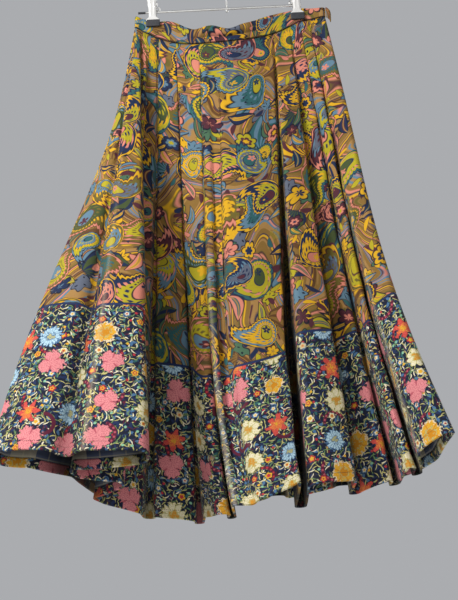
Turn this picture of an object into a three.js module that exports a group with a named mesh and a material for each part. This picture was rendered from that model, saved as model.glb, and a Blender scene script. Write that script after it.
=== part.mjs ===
// A flared skirt held by its waistband in the two clips of a wire hanger.
// Millimetres, +Z up, -Y is the wearer's front. The origin is where the hook bears on a rail.
//
// The folds are drawn in plan along the hem. Every line of cloth from waist to hem has the same
// length, so the further out a hem point stands, the higher it hangs.
import * as THREE from "three";

// ---- driving sizes ----
const skirtLength = 826; // waist seam to hem, along the cloth
const backLift = 32; // how much shorter the back hangs at its middle
const borderHeight = 238; // the flowered band at the foot of the skirt
const hemTurnHeight = 14; // cloth turned up inside the hem
const clothThickness = 1.6;
const facingThickness = 1.0;
const waistbandThickness = 2.4;
const seamGap = 0.3; // between any two pieces that meet

// waist seam, seen from the front
const waistLeft = -153;
const waistRight = 177;
const clipLeftAcross = -122;
const clipRightAcross = 130;
const seamAtLeftClip = -165;
const seamAtRightClip = -137;
const frontSag = 36; // how far the seam droops between the clips
const backSag = 20;
const seamSlopeRight = 0.2; // of the seam beyond the right clip
const gripZone = 18; // half the width that a clip presses flat
const gripDepth = 1.6; // middle plane to the middle of the band's wall in that width
const frontBelly = 19; // how far the band bows out between the clips
const backBelly = 15;
const endBelly = 3.5; // and at its two ends
const endRound = 6; // how much of the width the rounded end takes

// the waistband's height at places across it, and the crease along its middle
const bandHeights = [
  { across: waistLeft, height: 22 },
  { across: -120, height: 30 },
  { across: -90, height: 36 },
  { across: -57, height: 28 },
  { across: -20, height: 33 },
  { across: 8, height: 25 },
  { across: 34, height: 32 },
  { across: 70, height: 35 },
  { across: 130, height: 27 },
  { across: waistRight, height: 18 },
];
const bandCrease = 3.5;

// how the cloth swings out on the way down, as shares of its reach: steady is held in all the
// way, early is held in above and let out below
const middleSwing = { steady: 0.05, early: 0 };
const leftSwing = { steady: 0.06, early: 0.045 };
const rightSwing = { steady: 0.11, early: -0.03 };
const swingFrom = 190; // across, where the middle gives way to a side
const swingFull = 318;
// The folds at the middle hang steeper and flare at the foot: where they are across, how far
// forward their hem stands for none of it and for all of it, and, as shares of the reach and of
// the drop, how far in and how far down it takes the cloth where it is strongest.
const flare = { left: -60, right: 114, none: 60, full: 150, heldIn: 0.2, lower: 0.028 };
// The fold that is set back beside the centre flares more by this share of it.
const setBack = { left: 24, right: 46, none: 168, full: 182, more: 0.34 };

// hanger
const hangerTilt = THREE.MathUtils.degToRad(3.3);
const hookInnerRadius = 18;
const wireDiameter = 3.4;
const barDrop = 110; // hook bearing to the middle of the bar
const barDiameter = 4;
const barLeft = -142;
const barRight = 130;
const barTipLength = 13;
const clipsOnBar = { left: -130, right: 122 };

// how finely the cloth is cut into flat facets
const turnStep = THREE.MathUtils.degToRad(45);
const straightStep = 85;
const panelRings = [0.15, 0.33, 0.52]; // shares of the length, between the waist and the border
const seamSteps = 400; // points that measure the waist seam
// sides of what is round: rods, the barrels' tubes, the spring loops, the rivet and the hook
const sides = { rod: 12, barrel: 16, loopWire: 6, loop: 18, rivet: 12, rivetRings: 8, hook: 5, hookSteps: 40 };
const nearEnough = 1.5; // to a place across the waist, for the cloth marked as joining there
const slopeStep = 0.01; // share of the length over which a line's slope is taken

// ---- the folds, in plan along the hem ----
// One row for each fold. from and to are the two edges of its face, crown is how far the face
// bulges and crownAt where along it, roll is the radius of its edges. dip is the crease that
// follows the fold and dipRoll its radius. seam says where the two edges meet the waist seam.
const frontFolds = [
  { name: "side", from: [-296, -226], to: [-226, -258], crown: 5, crownAt: 0.5, roll: 22,
    dip: [-204, -237], dipRoll: 14, seam: [-152, -149] },
  { name: "broad", from: [-182, -263], to: [-94, -248], crown: 16, crownAt: 0.6, roll: 17,
    dip: [-206, -214], dipRoll: 12, seam: [-148, -143] },
  { name: "curled", from: [-194, -190], to: [-134, -182], crown: 4, crownAt: 0.5, roll: 9,
    dip: [-180, -126], dipRoll: 8, seam: [-137, -131] },
  { name: "tucked", from: [-163, -102], to: [-117, -70], crown: 3, crownAt: 0.5, roll: 9,
    dip: [-107, -36], dipRoll: 6, seam: [-122, -112] },
  { name: "flat", from: [-98, -54], to: [-37, -67], crown: 7, crownAt: 0.5, roll: 10,
    dip: [-33, -44], dipRoll: 5, seam: [-107, -82] },
  { name: "slanting", from: [-25, -92], to: [5, -144], crown: 4, crownAt: 0.5, roll: 8,
    dip: [14, -120], dipRoll: 5, seam: [-78, -44] },
  { name: "set_back", from: [14, -184], to: [43, -190], crown: 1, crownAt: 0.5, roll: 9,
    seam: [-36, -10] },
  { name: "centre", from: [50, -209], to: [106, -204], crown: 12, crownAt: 0.3, roll: 9,
    dip: [113, -76], dipRoll: 7, seam: [-4, 84] },
  { name: "panel", from: [118, -180], to: [187, -152], crown: 8, crownAt: 0.4, roll: 12,
    dip: [190, -74], dipRoll: 6, seam: [92, 114] },
  { name: "narrow", from: [201, -86], to: [246, -100], crown: 6, crownAt: 0.5, roll: 9,
    dip: [250, -70], dipRoll: 6, seam: [119, 133] },
  { name: "sliver", from: [256, -130], to: [264, -148], crown: 2, crownAt: 0.5, roll: 6,
    dip: [277, -108], dipRoll: 6, seam: [138, 148] },
  { name: "outer", from: [266, -200], to: [296, -250], crown: 6, crownAt: 0.45, roll: 10,
    seam: [156, 174] },
];
const backFolds = [
  { name: "right_side", from: [303, -192], to: [288, -70], crown: 8, crownAt: 0.5, roll: 20,
    dip: [262, -8], dipRoll: 12, seam: [174, 167] },
  { name: "back_one", from: [256, 46], to: [204, 56], crown: 5, crownAt: 0.5, roll: 14,
    dip: [184, 8], dipRoll: 10, seam: [160, 118] },
  { name: "back_two", from: [169, 52], to: [102, 50], crown: 7, crownAt: 0.6, roll: 14,
    dip: [84, 6], dipRoll: 10, seam: [108, 62] },
  { name: "back_three", from: [68, 42], to: [26, 58], crown: 4, crownAt: 0.5, roll: 12,
    dip: [10, 16], dipRoll: 8, seam: [52, 8] },
  { name: "back_four", from: [-8, 53], to: [-72, 47], crown: 8, crownAt: 0.35, roll: 15,
    dip: [-88, 7], dipRoll: 10, seam: [-2, -46] },
  { name: "back_five", from: [-106, 44], to: [-160, 52], crown: 4, crownAt: 0.5, roll: 16,
    dip: [-206, -158], dipRoll: 14, seam: [-56, -132] },
  { name: "left_side", from: [-262, -182], to: [-302, -176], crown: 3, crownAt: 0.5, roll: 10,
    seam: [-147, -150] },
];
const leftTip = { at: [-318, -202], roll: 14 };
const rightTip = { at: [308, -243], roll: 10 };
const crownRoll = 70;
const hairpinTurn = THREE.MathUtils.degToRad(112); // a sharper corner becomes a round end

// Unit vector from a to b.
const unitFrom = (a, b) => b.clone().sub(a).normalize();

// The corners of the hem's outline, from the left tip along the front and back again.
function hemCorners() {
  const cornersOf = (fold) => {
    const from = new THREE.Vector2(...fold.from);
    const to = new THREE.Vector2(...fold.to);
    const along = to.clone().sub(from);
    const out = new THREE.Vector2(along.y, -along.x).normalize().multiplyScalar(fold.crown);
    const crown = from.clone().addScaledVector(along, fold.crownAt).add(out);
    const corners = [
      { at: from, roll: fold.roll, seam: fold.seam?.[0] },
      { at: crown, roll: crownRoll },
      { at: to, roll: fold.roll, seam: fold.seam?.[1] },
    ];
    if (fold.dip) corners.push({ at: new THREE.Vector2(...fold.dip), roll: fold.dipRoll });
    return corners;
  };
  const tip = ({ at, roll }) => ({ at: new THREE.Vector2(...at), roll, side: true });
  return [tip(leftTip), ...frontFolds.flatMap(cornersOf), tip(rightTip), ...backFolds.flatMap(cornersOf)];
}

// A corner that doubles back is replaced by two, one roll to each side of its own axis.
function squareHairpins(corners) {
  const at = (k) => corners[(k + corners.length) % corners.length].at;
  return corners.flatMap((corner, k) => {
    const inward = unitFrom(at(k - 1), at(k));
    const outward = unitFrom(at(k), at(k + 1));
    const turn = Math.atan2(inward.cross(outward), inward.dot(outward));
    if (Math.abs(turn) < hairpinTurn) return [corner];
    const axis = inward.sub(outward).normalize();
    const across = new THREE.Vector2(-axis.y, axis.x).multiplyScalar(-Math.sign(turn) * corner.roll);
    return [
      { at: at(k).clone().add(across), roll: corner.roll, side: corner.side, seam: corner.seam },
      { at: at(k).clone().sub(across), roll: corner.roll },
    ];
  });
}

// Rounds each corner and returns the stations round the outline, from one side round to itself.
function roundCorners(corners) {
  const count = corners.length;
  const arcs = corners.map((corner, k) => {
    const before = corners[(k + count - 1) % count].at;
    const after = corners[(k + 1) % count].at;
    const inward = unitFrom(before, corner.at);
    const outward = unitFrom(corner.at, after);
    const turn = Math.max(1e-6, Math.abs(Math.atan2(inward.cross(outward), inward.dot(outward))));
    const room = 0.49 * Math.min(before.distanceTo(corner.at), after.distanceTo(corner.at));
    const reach = Math.min(corner.roll * Math.tan(turn / 2), room);
    const bend = ((4 / 3) * Math.tan(turn / 4)) / Math.tan(turn / 2); // makes the curve an arc
    const start = corner.at.clone().addScaledVector(inward, -reach);
    const end = corner.at.clone().addScaledVector(outward, reach);
    const leave = start.clone().lerp(corner.at, bend);
    const arrive = end.clone().lerp(corner.at, bend);
    const steps = Math.max(1, Math.round(turn / turnStep));
    return new THREE.CubicBezierCurve(start, leave, arrive, end).getPoints(steps);
  });
  const stations = arcs.flatMap((arc, k) => {
    const middle = Math.floor(arc.length / 2);
    const { side, seam } = corners[k];
    const made = arc.map((point, j) => (j === middle ? { point, side, seam } : { point }));
    const last = arc[arc.length - 1];
    const next = arcs[(k + 1) % count][0];
    const between = Math.floor(last.distanceTo(next) / straightStep);
    for (let j = 1; j <= between; j++) made.push({ point: last.clone().lerp(next, j / (between + 1)) });
    return made;
  });
  const first = stations.findIndex((station) => station.side);
  return [...stations.slice(first), ...stations.slice(0, first + 1)];
}

// ---- the waist seam ----

// Height of the seam at a place across the waist.
function seamHeight(across, sag) {
  const half = (clipRightAcross - clipLeftAcross) / 2;
  const share = (across - (clipLeftAcross + clipRightAcross) / 2) / half;
  if (share > 1) return seamAtRightClip + seamSlopeRight * (across - clipRightAcross);
  const chord = THREE.MathUtils.lerp(seamAtLeftClip, seamAtRightClip, (share + 1) / 2);
  return chord - (share < -1 ? frontSag : sag) * (1 - share * share);
}

// How far the band's wall stands from the middle plane at a place across the waist.
function seamDepth(across, belly) {
  const inner = { from: clipLeftAcross + gripZone, to: clipRightAcross - gripZone };
  if (across > inner.from && across < inner.to) {
    const share = (across - inner.from) / (inner.to - inner.from);
    return gripDepth + belly * Math.sin(Math.PI * share) ** 2;
  }
  const end = across < 0 ? waistLeft : waistRight;
  const grip = across < 0 ? clipLeftAcross - gripZone : clipRightAcross + gripZone;
  const toEnd = Math.abs(end - across);
  const swell = THREE.MathUtils.smoothstep(Math.abs(end - grip) - toEnd, 0, Math.abs(end - grip));
  const round = Math.sqrt(1 - Math.max(0, 1 - toEnd / endRound) ** 2);
  return (gripDepth + endBelly * swell) * round;
}

// The seam of one half, in the order of its stations, with the distance along it.
function seamPath({ belly, sag, front }) {
  const points = [];
  for (let j = 0; j <= seamSteps; j++) {
    const share = 0.5 - 0.5 * Math.cos((Math.PI * j) / seamSteps);
    const across = THREE.MathUtils.lerp(waistLeft, waistRight, front ? share : 1 - share);
    const depth = seamDepth(across, belly) * (front ? -1 : 1);
    points.push(new THREE.Vector3(across, depth, seamHeight(across, sag)));
  }
  const along = [0];
  for (let j = 1; j < points.length; j++) along.push(along[j - 1] + points[j].distanceTo(points[j - 1]));
  return { points, along, length: along[along.length - 1] };
}

// The point that lies a given distance along such a path.
function pointAlong({ points, along, length }, distance) {
  const goal = THREE.MathUtils.clamp(distance, 0, length);
  let k = 1;
  while (k < along.length - 1 && along[k] < goal) k++;
  return points[k - 1].clone().lerp(points[k], (goal - along[k - 1]) / (along[k] - along[k - 1]));
}

// The distance along the path where it first comes near a place across the waist.
function distanceAt({ points, along }, across) {
  return along[points.findIndex((point) => Math.abs(point.x - across) < nearEnough)];
}

// ---- the cloth: one line of cloth from waist to hem for each station ----
function clothLines(stations, half) {
  const path = seamPath(half);
  const lengths = [0];
  for (let k = 1; k < stations.length; k++) {
    lengths.push(lengths[k - 1] + stations[k].point.distanceTo(stations[k - 1].point));
  }
  const last = stations.length - 1;
  const anchors = stations
    .map(({ seam }, k) => ({ hem: lengths[k], waist: seam === undefined ? null : distanceAt(path, seam) }))
    .filter(({ waist }) => waist !== null);
  const knots = [{ hem: 0, waist: 0 }, ...anchors, { hem: lengths[last], waist: path.length }];
  return stations.map(({ point }, k) => {
    const after = Math.max(1, knots.findIndex((knot) => knot.hem >= lengths[k]));
    const share = (lengths[k] - knots[after - 1].hem) / (knots[after].hem - knots[after - 1].hem);
    const waist = pointAlong(path, THREE.MathUtils.lerp(knots[after - 1].waist, knots[after].waist, share));
    const reach = Math.hypot(point.x - waist.x, point.y - waist.y);
    const length = skirtLength - half.lift * Math.sin((Math.PI * lengths[k]) / lengths[last]);
    const drop = Math.sqrt(length ** 2 - reach ** 2);
    return { waist, hem: new THREE.Vector3(point.x, point.y, waist.z - drop) };
  });
}

// How much the line that ends at a hem point flares, and how that grows down its length.
function flareOf(hem) {
  const within = hem.x > flare.left && hem.x < flare.right;
  const isSetBack = hem.x > setBack.left && hem.x < setBack.right;
  const more = isSetBack ? setBack.more * THREE.MathUtils.smoothstep(-hem.y, setBack.none, setBack.full) : 0;
  return within ? (1 + more) * THREE.MathUtils.smoothstep(-hem.y, flare.none, flare.full) : 0;
}
const flareGrowth = (share) => 6.75 * share * share * (1 - share); // one at two thirds

// The point on a line of cloth at a share of its length.
function hang({ waist, hem }, share) {
  const side = hem.x < 0 ? leftSwing : rightSwing;
  const sideways = THREE.MathUtils.smoothstep(Math.abs(hem.x), swingFrom, swingFull);
  const steady = THREE.MathUtils.lerp(middleSwing.steady, side.steady, sideways);
  const early = THREE.MathUtils.lerp(middleSwing.early, side.early, sideways);
  const flared = flareOf(hem) * flareGrowth(share);
  const swing = steady * Math.sin(Math.PI * share) + early * Math.sin(2 * Math.PI * share);
  const point = waist.clone().lerp(hem, share - swing - flare.heldIn * flared);
  point.z = THREE.MathUtils.lerp(waist.z, hem.z, share + flare.lower * flared);
  return point;
}

// Points on the cloth with the outward direction at each, ring by ring. The lines run on past
// both ends of the half, so that its edges match the other half's.
function clothGrid(lines, beforeFirst, afterLast, shares) {
  return shares.map((share) => {
    const ring = [beforeFirst, ...lines, afterLast].map((line) => hang(line, share));
    return lines.map((line, k) => {
      const along = unitFrom(ring[k], ring[k + 1]).add(unitFrom(ring[k + 1], ring[k + 2])).normalize();
      const down = unitFrom(hang(line, share - slopeStep), hang(line, share + slopeStep));
      const out = down.cross(along).normalize();
      const trim = { 0: seamGap / 2, [lines.length - 1]: -seamGap / 2 }[k] ?? 0;
      return { point: ring[k + 1].addScaledVector(along, trim), out };
    });
  });
}

// A closed wall between two offsets from a grid of points.
function wallGeometry(grid, outer, inner) {
  const rows = grid.length;
  const columns = grid[0].length;
  const position = [outer, inner].flatMap((offset) =>
    grid.flatMap((ring) => ring.flatMap(({ point, out }) => point.clone().addScaledVector(out, offset).toArray())),
  );
  const outside = (j, k) => j * columns + k;
  const inside = (j, k) => (rows + j) * columns + k;
  const index = [];
  const quad = (a, b, c, d) => index.push(a, b, c, a, c, d);
  for (let j = 0; j + 1 < rows; j++) {
    for (let k = 0; k + 1 < columns; k++) {
      quad(outside(j, k), outside(j + 1, k), outside(j + 1, k + 1), outside(j, k + 1));
      quad(inside(j, k), inside(j, k + 1), inside(j + 1, k + 1), inside(j + 1, k));
    }
    quad(outside(j, 0), inside(j, 0), inside(j + 1, 0), outside(j + 1, 0));
    const last = columns - 1;
    quad(outside(j, last), outside(j + 1, last), inside(j + 1, last), inside(j, last));
  }
  for (let k = 0; k + 1 < columns; k++) {
    quad(outside(0, k), outside(0, k + 1), inside(0, k + 1), inside(0, k));
    const foot = rows - 1;
    quad(outside(foot, k), inside(foot, k), inside(foot, k + 1), outside(foot, k + 1));
  }
  const geometry = new THREE.BufferGeometry();
  geometry.setAttribute("position", new THREE.Float32BufferAttribute(position, 3));
  geometry.setIndex(index);
  return geometry;
}

// ---- materials ----
const finish = (color, roughness, metalness = 0) =>
  new THREE.MeshStandardMaterial({ color, roughness, metalness });
const paisleyCloth = finish(0x8a7440, 0.85);
const flowerCloth = finish(0x3c4150, 0.85);
const checkCloth = finish(0x3e4656, 0.9);
const steel = finish(0xb9bab4, 0.3, 0.9);
const pearl = finish(0xdad8d2, 0.35);
const rubber = finish(0x2a2c2e, 0.7);

function addMesh(parent, name, geometry, material) {
  const mesh = new THREE.Mesh(geometry, material);
  mesh.name = name;
  parent.add(mesh);
  return mesh;
}

// ---- panels, border, facing and turned hem ----
function addCloth(parent, half, lines, others) {
  const wall = clothThickness / 2;
  const facingOuter = -wall - seamGap;
  const facingInner = facingOuter - facingThickness;
  const gapShare = seamGap / skirtLength;
  const borderTop = 1 - borderHeight / skirtLength;
  const turnTop = 1 - hemTurnHeight / skirtLength;
  const grid = (shares) => clothGrid(lines, others[others.length - 2], others[1], shares);
  const panel = grid([2 * gapShare, ...panelRings, borderTop - gapShare / 2]);
  const border = grid([borderTop + gapShare / 2, turnTop, 1]);
  const facing = grid([borderTop + gapShare / 2, turnTop - gapShare]);
  const turn = border.slice(1);
  addMesh(parent, `skirt_${half.name}`, wallGeometry(panel, wall, -wall), paisleyCloth);
  addMesh(parent, `border_${half.name}`, wallGeometry(border, wall, -wall), flowerCloth);
  addMesh(parent, `facing_${half.name}`, wallGeometry(facing, facingOuter, facingInner), checkCloth);
  addMesh(parent, `hem_turn_${half.name}`, wallGeometry(turn, facingOuter, facingInner), flowerCloth);
}

// ---- waistband: a stiff double band standing on the seam ----
const bandLevels = [1, 0.5, 0]; // shares of its height, from the top
const creaseFrom = { none: 0.3, full: 0.9 }; // shares of the belly where the crease sets in
const bandStep = { least: 1.2, most: 18, growth: 0.35 }; // between its columns, finer at the ends
const bandHeightCurve = new THREE.SplineCurve(
  bandHeights.map(({ across, height }) => new THREE.Vector2(across, height)),
);

// The band's height at a place across it.
function bandHeightAt(across) {
  const k = Math.max(1, bandHeights.findIndex((row) => row.across >= across));
  const before = bandHeights[k - 1];
  const share = (across - before.across) / (bandHeights[k].across - before.across);
  return bandHeightCurve.getPoint((k - 1 + share) / (bandHeights.length - 1)).y;
}

// The band stands on the tops of the cloth's lines, on every line that lies a step from the last.
function bandGrid(half, lines, others) {
  const foot = [others[others.length - 2], ...lines, others[1]].map(({ waist }) => waist);
  const last = lines.length;
  const kept = [1];
  for (let k = 2; k < last; k++) {
    const toEnd = Math.min(foot[k].distanceTo(foot[1]), foot[k].distanceTo(foot[last]));
    const step = Math.min(bandStep.most, bandStep.least + bandStep.growth * toEnd);
    const stepsOn = foot[k].distanceTo(foot[kept[kept.length - 1]]) >= step;
    if (stepsOn && foot[k].distanceTo(foot[last]) >= bandStep.least) kept.push(k);
  }
  kept.push(last);
  const up = new THREE.Vector3(0, 0, 1);
  return bandLevels.map((level) =>
    kept.map((k) => {
      const along = unitFrom(foot[k - 1], foot[k]).add(unitFrom(foot[k], foot[k + 1])).setZ(0).normalize();
      const out = along.clone().cross(up);
      const bowed = (Math.abs(foot[k].y) - gripDepth) / half.belly;
      const crease = level === 0.5 ? bandCrease * THREE.MathUtils.smoothstep(bowed, creaseFrom.none, creaseFrom.full) : 0;
      const trim = { 1: seamGap / 2, [last]: -seamGap / 2 }[k] ?? 0;
      const point = foot[k].clone().addScaledVector(up, level * bandHeightAt(foot[k].x));
      return { point: point.addScaledVector(out, -crease).addScaledVector(along, trim), out };
    }),
  );
}

// The end of the band that laps past the side, a curved tongue that stands clear of it.
const tongue = { length: 9, height: 20, thickness: 2.2, drop: 7, top: -108, clear: 1.5, forward: 3 };
function tongueGrid() {
  const rows = 3;
  const columns = 5;
  const grid = [];
  for (let j = 0; j < rows; j++) {
    const ring = [];
    for (let k = 0; k < columns; k++) {
      const bend = (k / (columns - 1)) * (Math.PI / 2);
      const across = waistRight + tongue.clear + tongue.length * Math.sin(bend);
      const depth = -tongue.forward + tongue.length * (1 - Math.cos(bend));
      const height = tongue.top - (tongue.height * j) / (rows - 1) - (tongue.drop * k) / (columns - 1);
      const out = new THREE.Vector3(Math.sin(bend), -Math.cos(bend), 0);
      ring.push({ point: new THREE.Vector3(across, depth, height), out });
    }
    grid.push(ring);
  }
  return grid;
}

// ---- hanger ----
// Rows of a clip's leaf: up from the bar, out from the middle plane to its inner face.
const clipLeaf = [
  { up: 25, out: 10, halfWidth: 9.2 },
  { up: 20, out: 8.6, halfWidth: 8.8 },
  { up: 13, out: 6.6, halfWidth: 7 },
  { up: 3, out: 5.2, halfWidth: 6.8 },
  { up: -12, out: 4.5, halfWidth: 6.8 },
  { up: -15, out: 4.8, halfWidth: 9.5 },
  { up: -18, out: 5.2, halfWidth: 12.2 },
];
const leafThickness = 1.6;
const padSize = { width: 24.4, depth: 4.6, height: 12.6 };
const barrel = { inner: 2.3, outer: 4.1, length: 12 };
const springLoop = { radius: 3, wire: 1.5, across: 10 };

function leafGeometry(facing) {
  const grid = clipLeaf.map(({ up, out, halfWidth }) =>
    [-1, 0, 1].map((share) => ({
      point: new THREE.Vector3(-facing * share * halfWidth, facing * (out + leafThickness / 2), up),
      out: new THREE.Vector3(0, facing, 0),
    })),
  );
  return wallGeometry(grid, leafThickness / 2, -leafThickness / 2);
}

function addClip(parent, side, place) {
  const clip = new THREE.Group();
  clip.position.set(place, 0, -barDrop);
  parent.add(clip);
  for (const [face, facing] of [["front", -1], ["back", 1]]) {
    addMesh(clip, `clip_${side}_leaf_${face}`, leafGeometry(facing), pearl);
    const pad = new THREE.BoxGeometry(padSize.width, padSize.depth, padSize.height);
    const padOut = gripDepth + waistbandThickness / 2 + seamGap + padSize.depth / 2;
    const foot = clipLeaf[clipLeaf.length - 1].up - seamGap - padSize.height / 2;
    addMesh(clip, `clip_${side}_pad_${face}`, pad, rubber).position.set(0, facing * padOut, foot);
  }
  const halfBarrel = barrel.length / 2;
  const section = [
    [barrel.inner, -halfBarrel],
    [barrel.outer, -halfBarrel],
    [barrel.outer, halfBarrel],
    [barrel.inner, halfBarrel],
    [barrel.inner, -halfBarrel],
  ];
  const tube = new THREE.LatheGeometry(section.map(([r, h]) => new THREE.Vector2(r, h)), sides.barrel);
  addMesh(clip, `clip_${side}_barrel`, tube.rotateZ(Math.PI / 2), pearl);
  const loop = new THREE.TorusGeometry(springLoop.radius, springLoop.wire / 2, sides.loopWire, sides.loop);
  loop.rotateX(Math.PI / 2);
  const above = barDiameter / 2 + seamGap + springLoop.radius + springLoop.wire / 2;
  const towardsStem = -Math.sign(place);
  addMesh(clip, `clip_${side}_spring`, loop, steel).position.set(towardsStem * springLoop.across, 0, above);
}

// The hook: up from the bar, out to one side and over the rail. Its neck starts so far below the
// loop and leans out in two steps, each a share of the loop's radius out and so far up.
const hookNeck = { below: 42, leans: [{ out: 0.28, up: 11 }, { out: 0.8, up: 24 }] };
const hookArc = { start: -0.15, end: 1.12, steps: 9 }; // in half turns
function hookGeometry() {
  const radius = hookInnerRadius + wireDiameter / 2;
  const foot = -barDrop + barDiameter / 2 + seamGap;
  const neck = -hookInnerRadius - hookNeck.below;
  const points = [
    new THREE.Vector3(0, 0, foot),
    new THREE.Vector3(0, 0, (foot + neck) / 2),
    new THREE.Vector3(0, 0, neck),
    ...hookNeck.leans.map(({ out, up }) => new THREE.Vector3(radius * out, 0, neck + up)),
  ];
  for (let j = 0; j <= hookArc.steps; j++) {
    const angle = Math.PI * THREE.MathUtils.lerp(hookArc.start, hookArc.end, j / hookArc.steps);
    points.push(new THREE.Vector3(radius * Math.cos(angle), 0, radius * Math.sin(angle) - hookInnerRadius));
  }
  const section = new THREE.Shape().absarc(0, 0, wireDiameter / 2, 0, 2 * Math.PI);
  const path = new THREE.CatmullRomCurve3(points, false, "centripetal");
  return new THREE.ExtrudeGeometry(section, { steps: sides.hookSteps, curveSegments: sides.hook, extrudePath: path });
}

function addHanger(parent) {
  const hanger = new THREE.Group();
  hanger.rotation.y = -hangerTilt;
  parent.add(hanger);
  addMesh(hanger, "hanger_hook", hookGeometry(), steel);
  const rod = (from, to, diameter) =>
    new THREE.CylinderGeometry(diameter / 2, diameter / 2, to - from, sides.rod)
      .rotateZ(Math.PI / 2)
      .translate((from + to) / 2, 0, -barDrop);
  addMesh(hanger, "hanger_bar", rod(barLeft, barRight, barDiameter), steel);
  addMesh(hanger, "hanger_bar_tip", rod(barLeft - seamGap - barTipLength, barLeft - seamGap, barDiameter), rubber);
  const rivetRadius = 2.4;
  const rivet = new THREE.SphereGeometry(rivetRadius, sides.rivet, sides.rivetRings).rotateX(Math.PI / 2);
  const below = -barDrop - barDiameter / 2 - seamGap - rivetRadius;
  addMesh(hanger, "hanger_rivet", rivet, steel).position.set(0, 0, below);
  for (const [side, place] of Object.entries(clipsOnBar)) addClip(hanger, side, place);
}

// ---- the whole ----
const skirt = new THREE.Group();
const frontHalf = { name: "front", lift: 0, belly: frontBelly, sag: frontSag, front: true };
const backHalf = { name: "back", lift: backLift, belly: backBelly, sag: backSag, front: false };
const stations = roundCorners(squareHairpins(hemCorners()));
const rightSide = stations.findIndex((station, k) => k > 0 && station.side);
const frontLines = clothLines(stations.slice(0, rightSide + 1), frontHalf);
const backLines = clothLines(stations.slice(rightSide), backHalf);
for (const [half, lines, others] of [
  [frontHalf, frontLines, backLines],
  [backHalf, backLines, frontLines],
]) {
  addCloth(skirt, half, lines, others);
  const wall = waistbandThickness / 2;
  const band = wallGeometry(bandGrid(half, lines, others), wall, -wall);
  addMesh(skirt, `waistband_${half.name}`, band, paisleyCloth);
}
const tongueWall = tongue.thickness / 2;
addMesh(skirt, "waistband_tongue", wallGeometry(tongueGrid(), tongueWall, -tongueWall), paisleyCloth);
addHanger(skirt);

export default skirt;
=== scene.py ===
import math

import bpy
import numpy as np
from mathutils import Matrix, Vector


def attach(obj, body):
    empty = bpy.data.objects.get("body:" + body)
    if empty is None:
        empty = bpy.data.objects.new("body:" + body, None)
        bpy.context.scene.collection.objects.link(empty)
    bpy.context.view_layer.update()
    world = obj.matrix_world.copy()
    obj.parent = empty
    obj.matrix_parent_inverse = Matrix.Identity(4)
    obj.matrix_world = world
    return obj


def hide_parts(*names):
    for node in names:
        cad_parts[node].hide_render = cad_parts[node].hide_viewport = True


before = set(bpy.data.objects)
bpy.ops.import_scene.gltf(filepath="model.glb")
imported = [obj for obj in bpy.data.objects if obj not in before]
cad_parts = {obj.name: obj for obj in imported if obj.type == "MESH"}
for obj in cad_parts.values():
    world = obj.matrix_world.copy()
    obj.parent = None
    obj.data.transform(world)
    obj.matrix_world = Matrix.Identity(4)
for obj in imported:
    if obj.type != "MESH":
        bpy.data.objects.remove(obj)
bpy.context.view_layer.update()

mm = 0.001

# the camera stands low in front and looks up at the hanging skirt
cameraView = {"spot": (0.010, -1.6734, -1.1892), "pitchUp": 18.0, "lens": 66.0, "sensor": 36.0}


def makeCamera():
    lens = bpy.data.cameras.new("camera")
    lens.lens = cameraView["lens"]
    lens.sensor_width = cameraView["sensor"]
    camera = bpy.data.objects.new("camera", lens)
    camera.location = cameraView["spot"]
    camera.rotation_euler = (math.radians(90 + cameraView["pitchUp"]), 0, 0)
    bpy.context.scene.collection.objects.link(camera)
    bpy.context.scene.camera = camera


makeCamera()
print("camera placed")

# the hanging cloth
# Lengths in millimetres; the points that come out are in metres.
skirt = {
    "length": 826, "backLift": 32, "borderHeight": 238, "hemTurn": 14, "seamGap": 0.3,
    "wall": 1.6, "facing": 1.0,
}
waist = {
    "left": -153, "right": 177, "clipLeft": -122, "clipRight": 130, "seamAtLeftClip": -165,
    "seamAtRightClip": -137, "slopeRight": 0.2, "gripZone": 18, "gripDepth": 1.6,
    "endBelly": 3.5, "endRound": 6, "steps": 400, "nearEnough": 1.5,
}
halves = {
    "front": {"lift": 0, "belly": 19, "sag": 36, "side": -1, "seed": 11},
    "back": {"lift": skirt["backLift"], "belly": 15, "sag": 20, "side": 1, "seed": 47},
}
# how the cloth swings out on the way down, as shares of its reach
swing = {"from": 190, "full": 318, "middle": (0.05, 0.0), "left": (0.06, 0.045), "right": (0.11, -0.03)}
flare = {"left": -60, "right": 114, "none": 60, "full": 150, "heldIn": 0.2, "lower": 0.028,
         "growth": 6.75}
setBack = {"left": 24, "right": 46, "none": 168, "full": 182, "more": 0.34}

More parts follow.
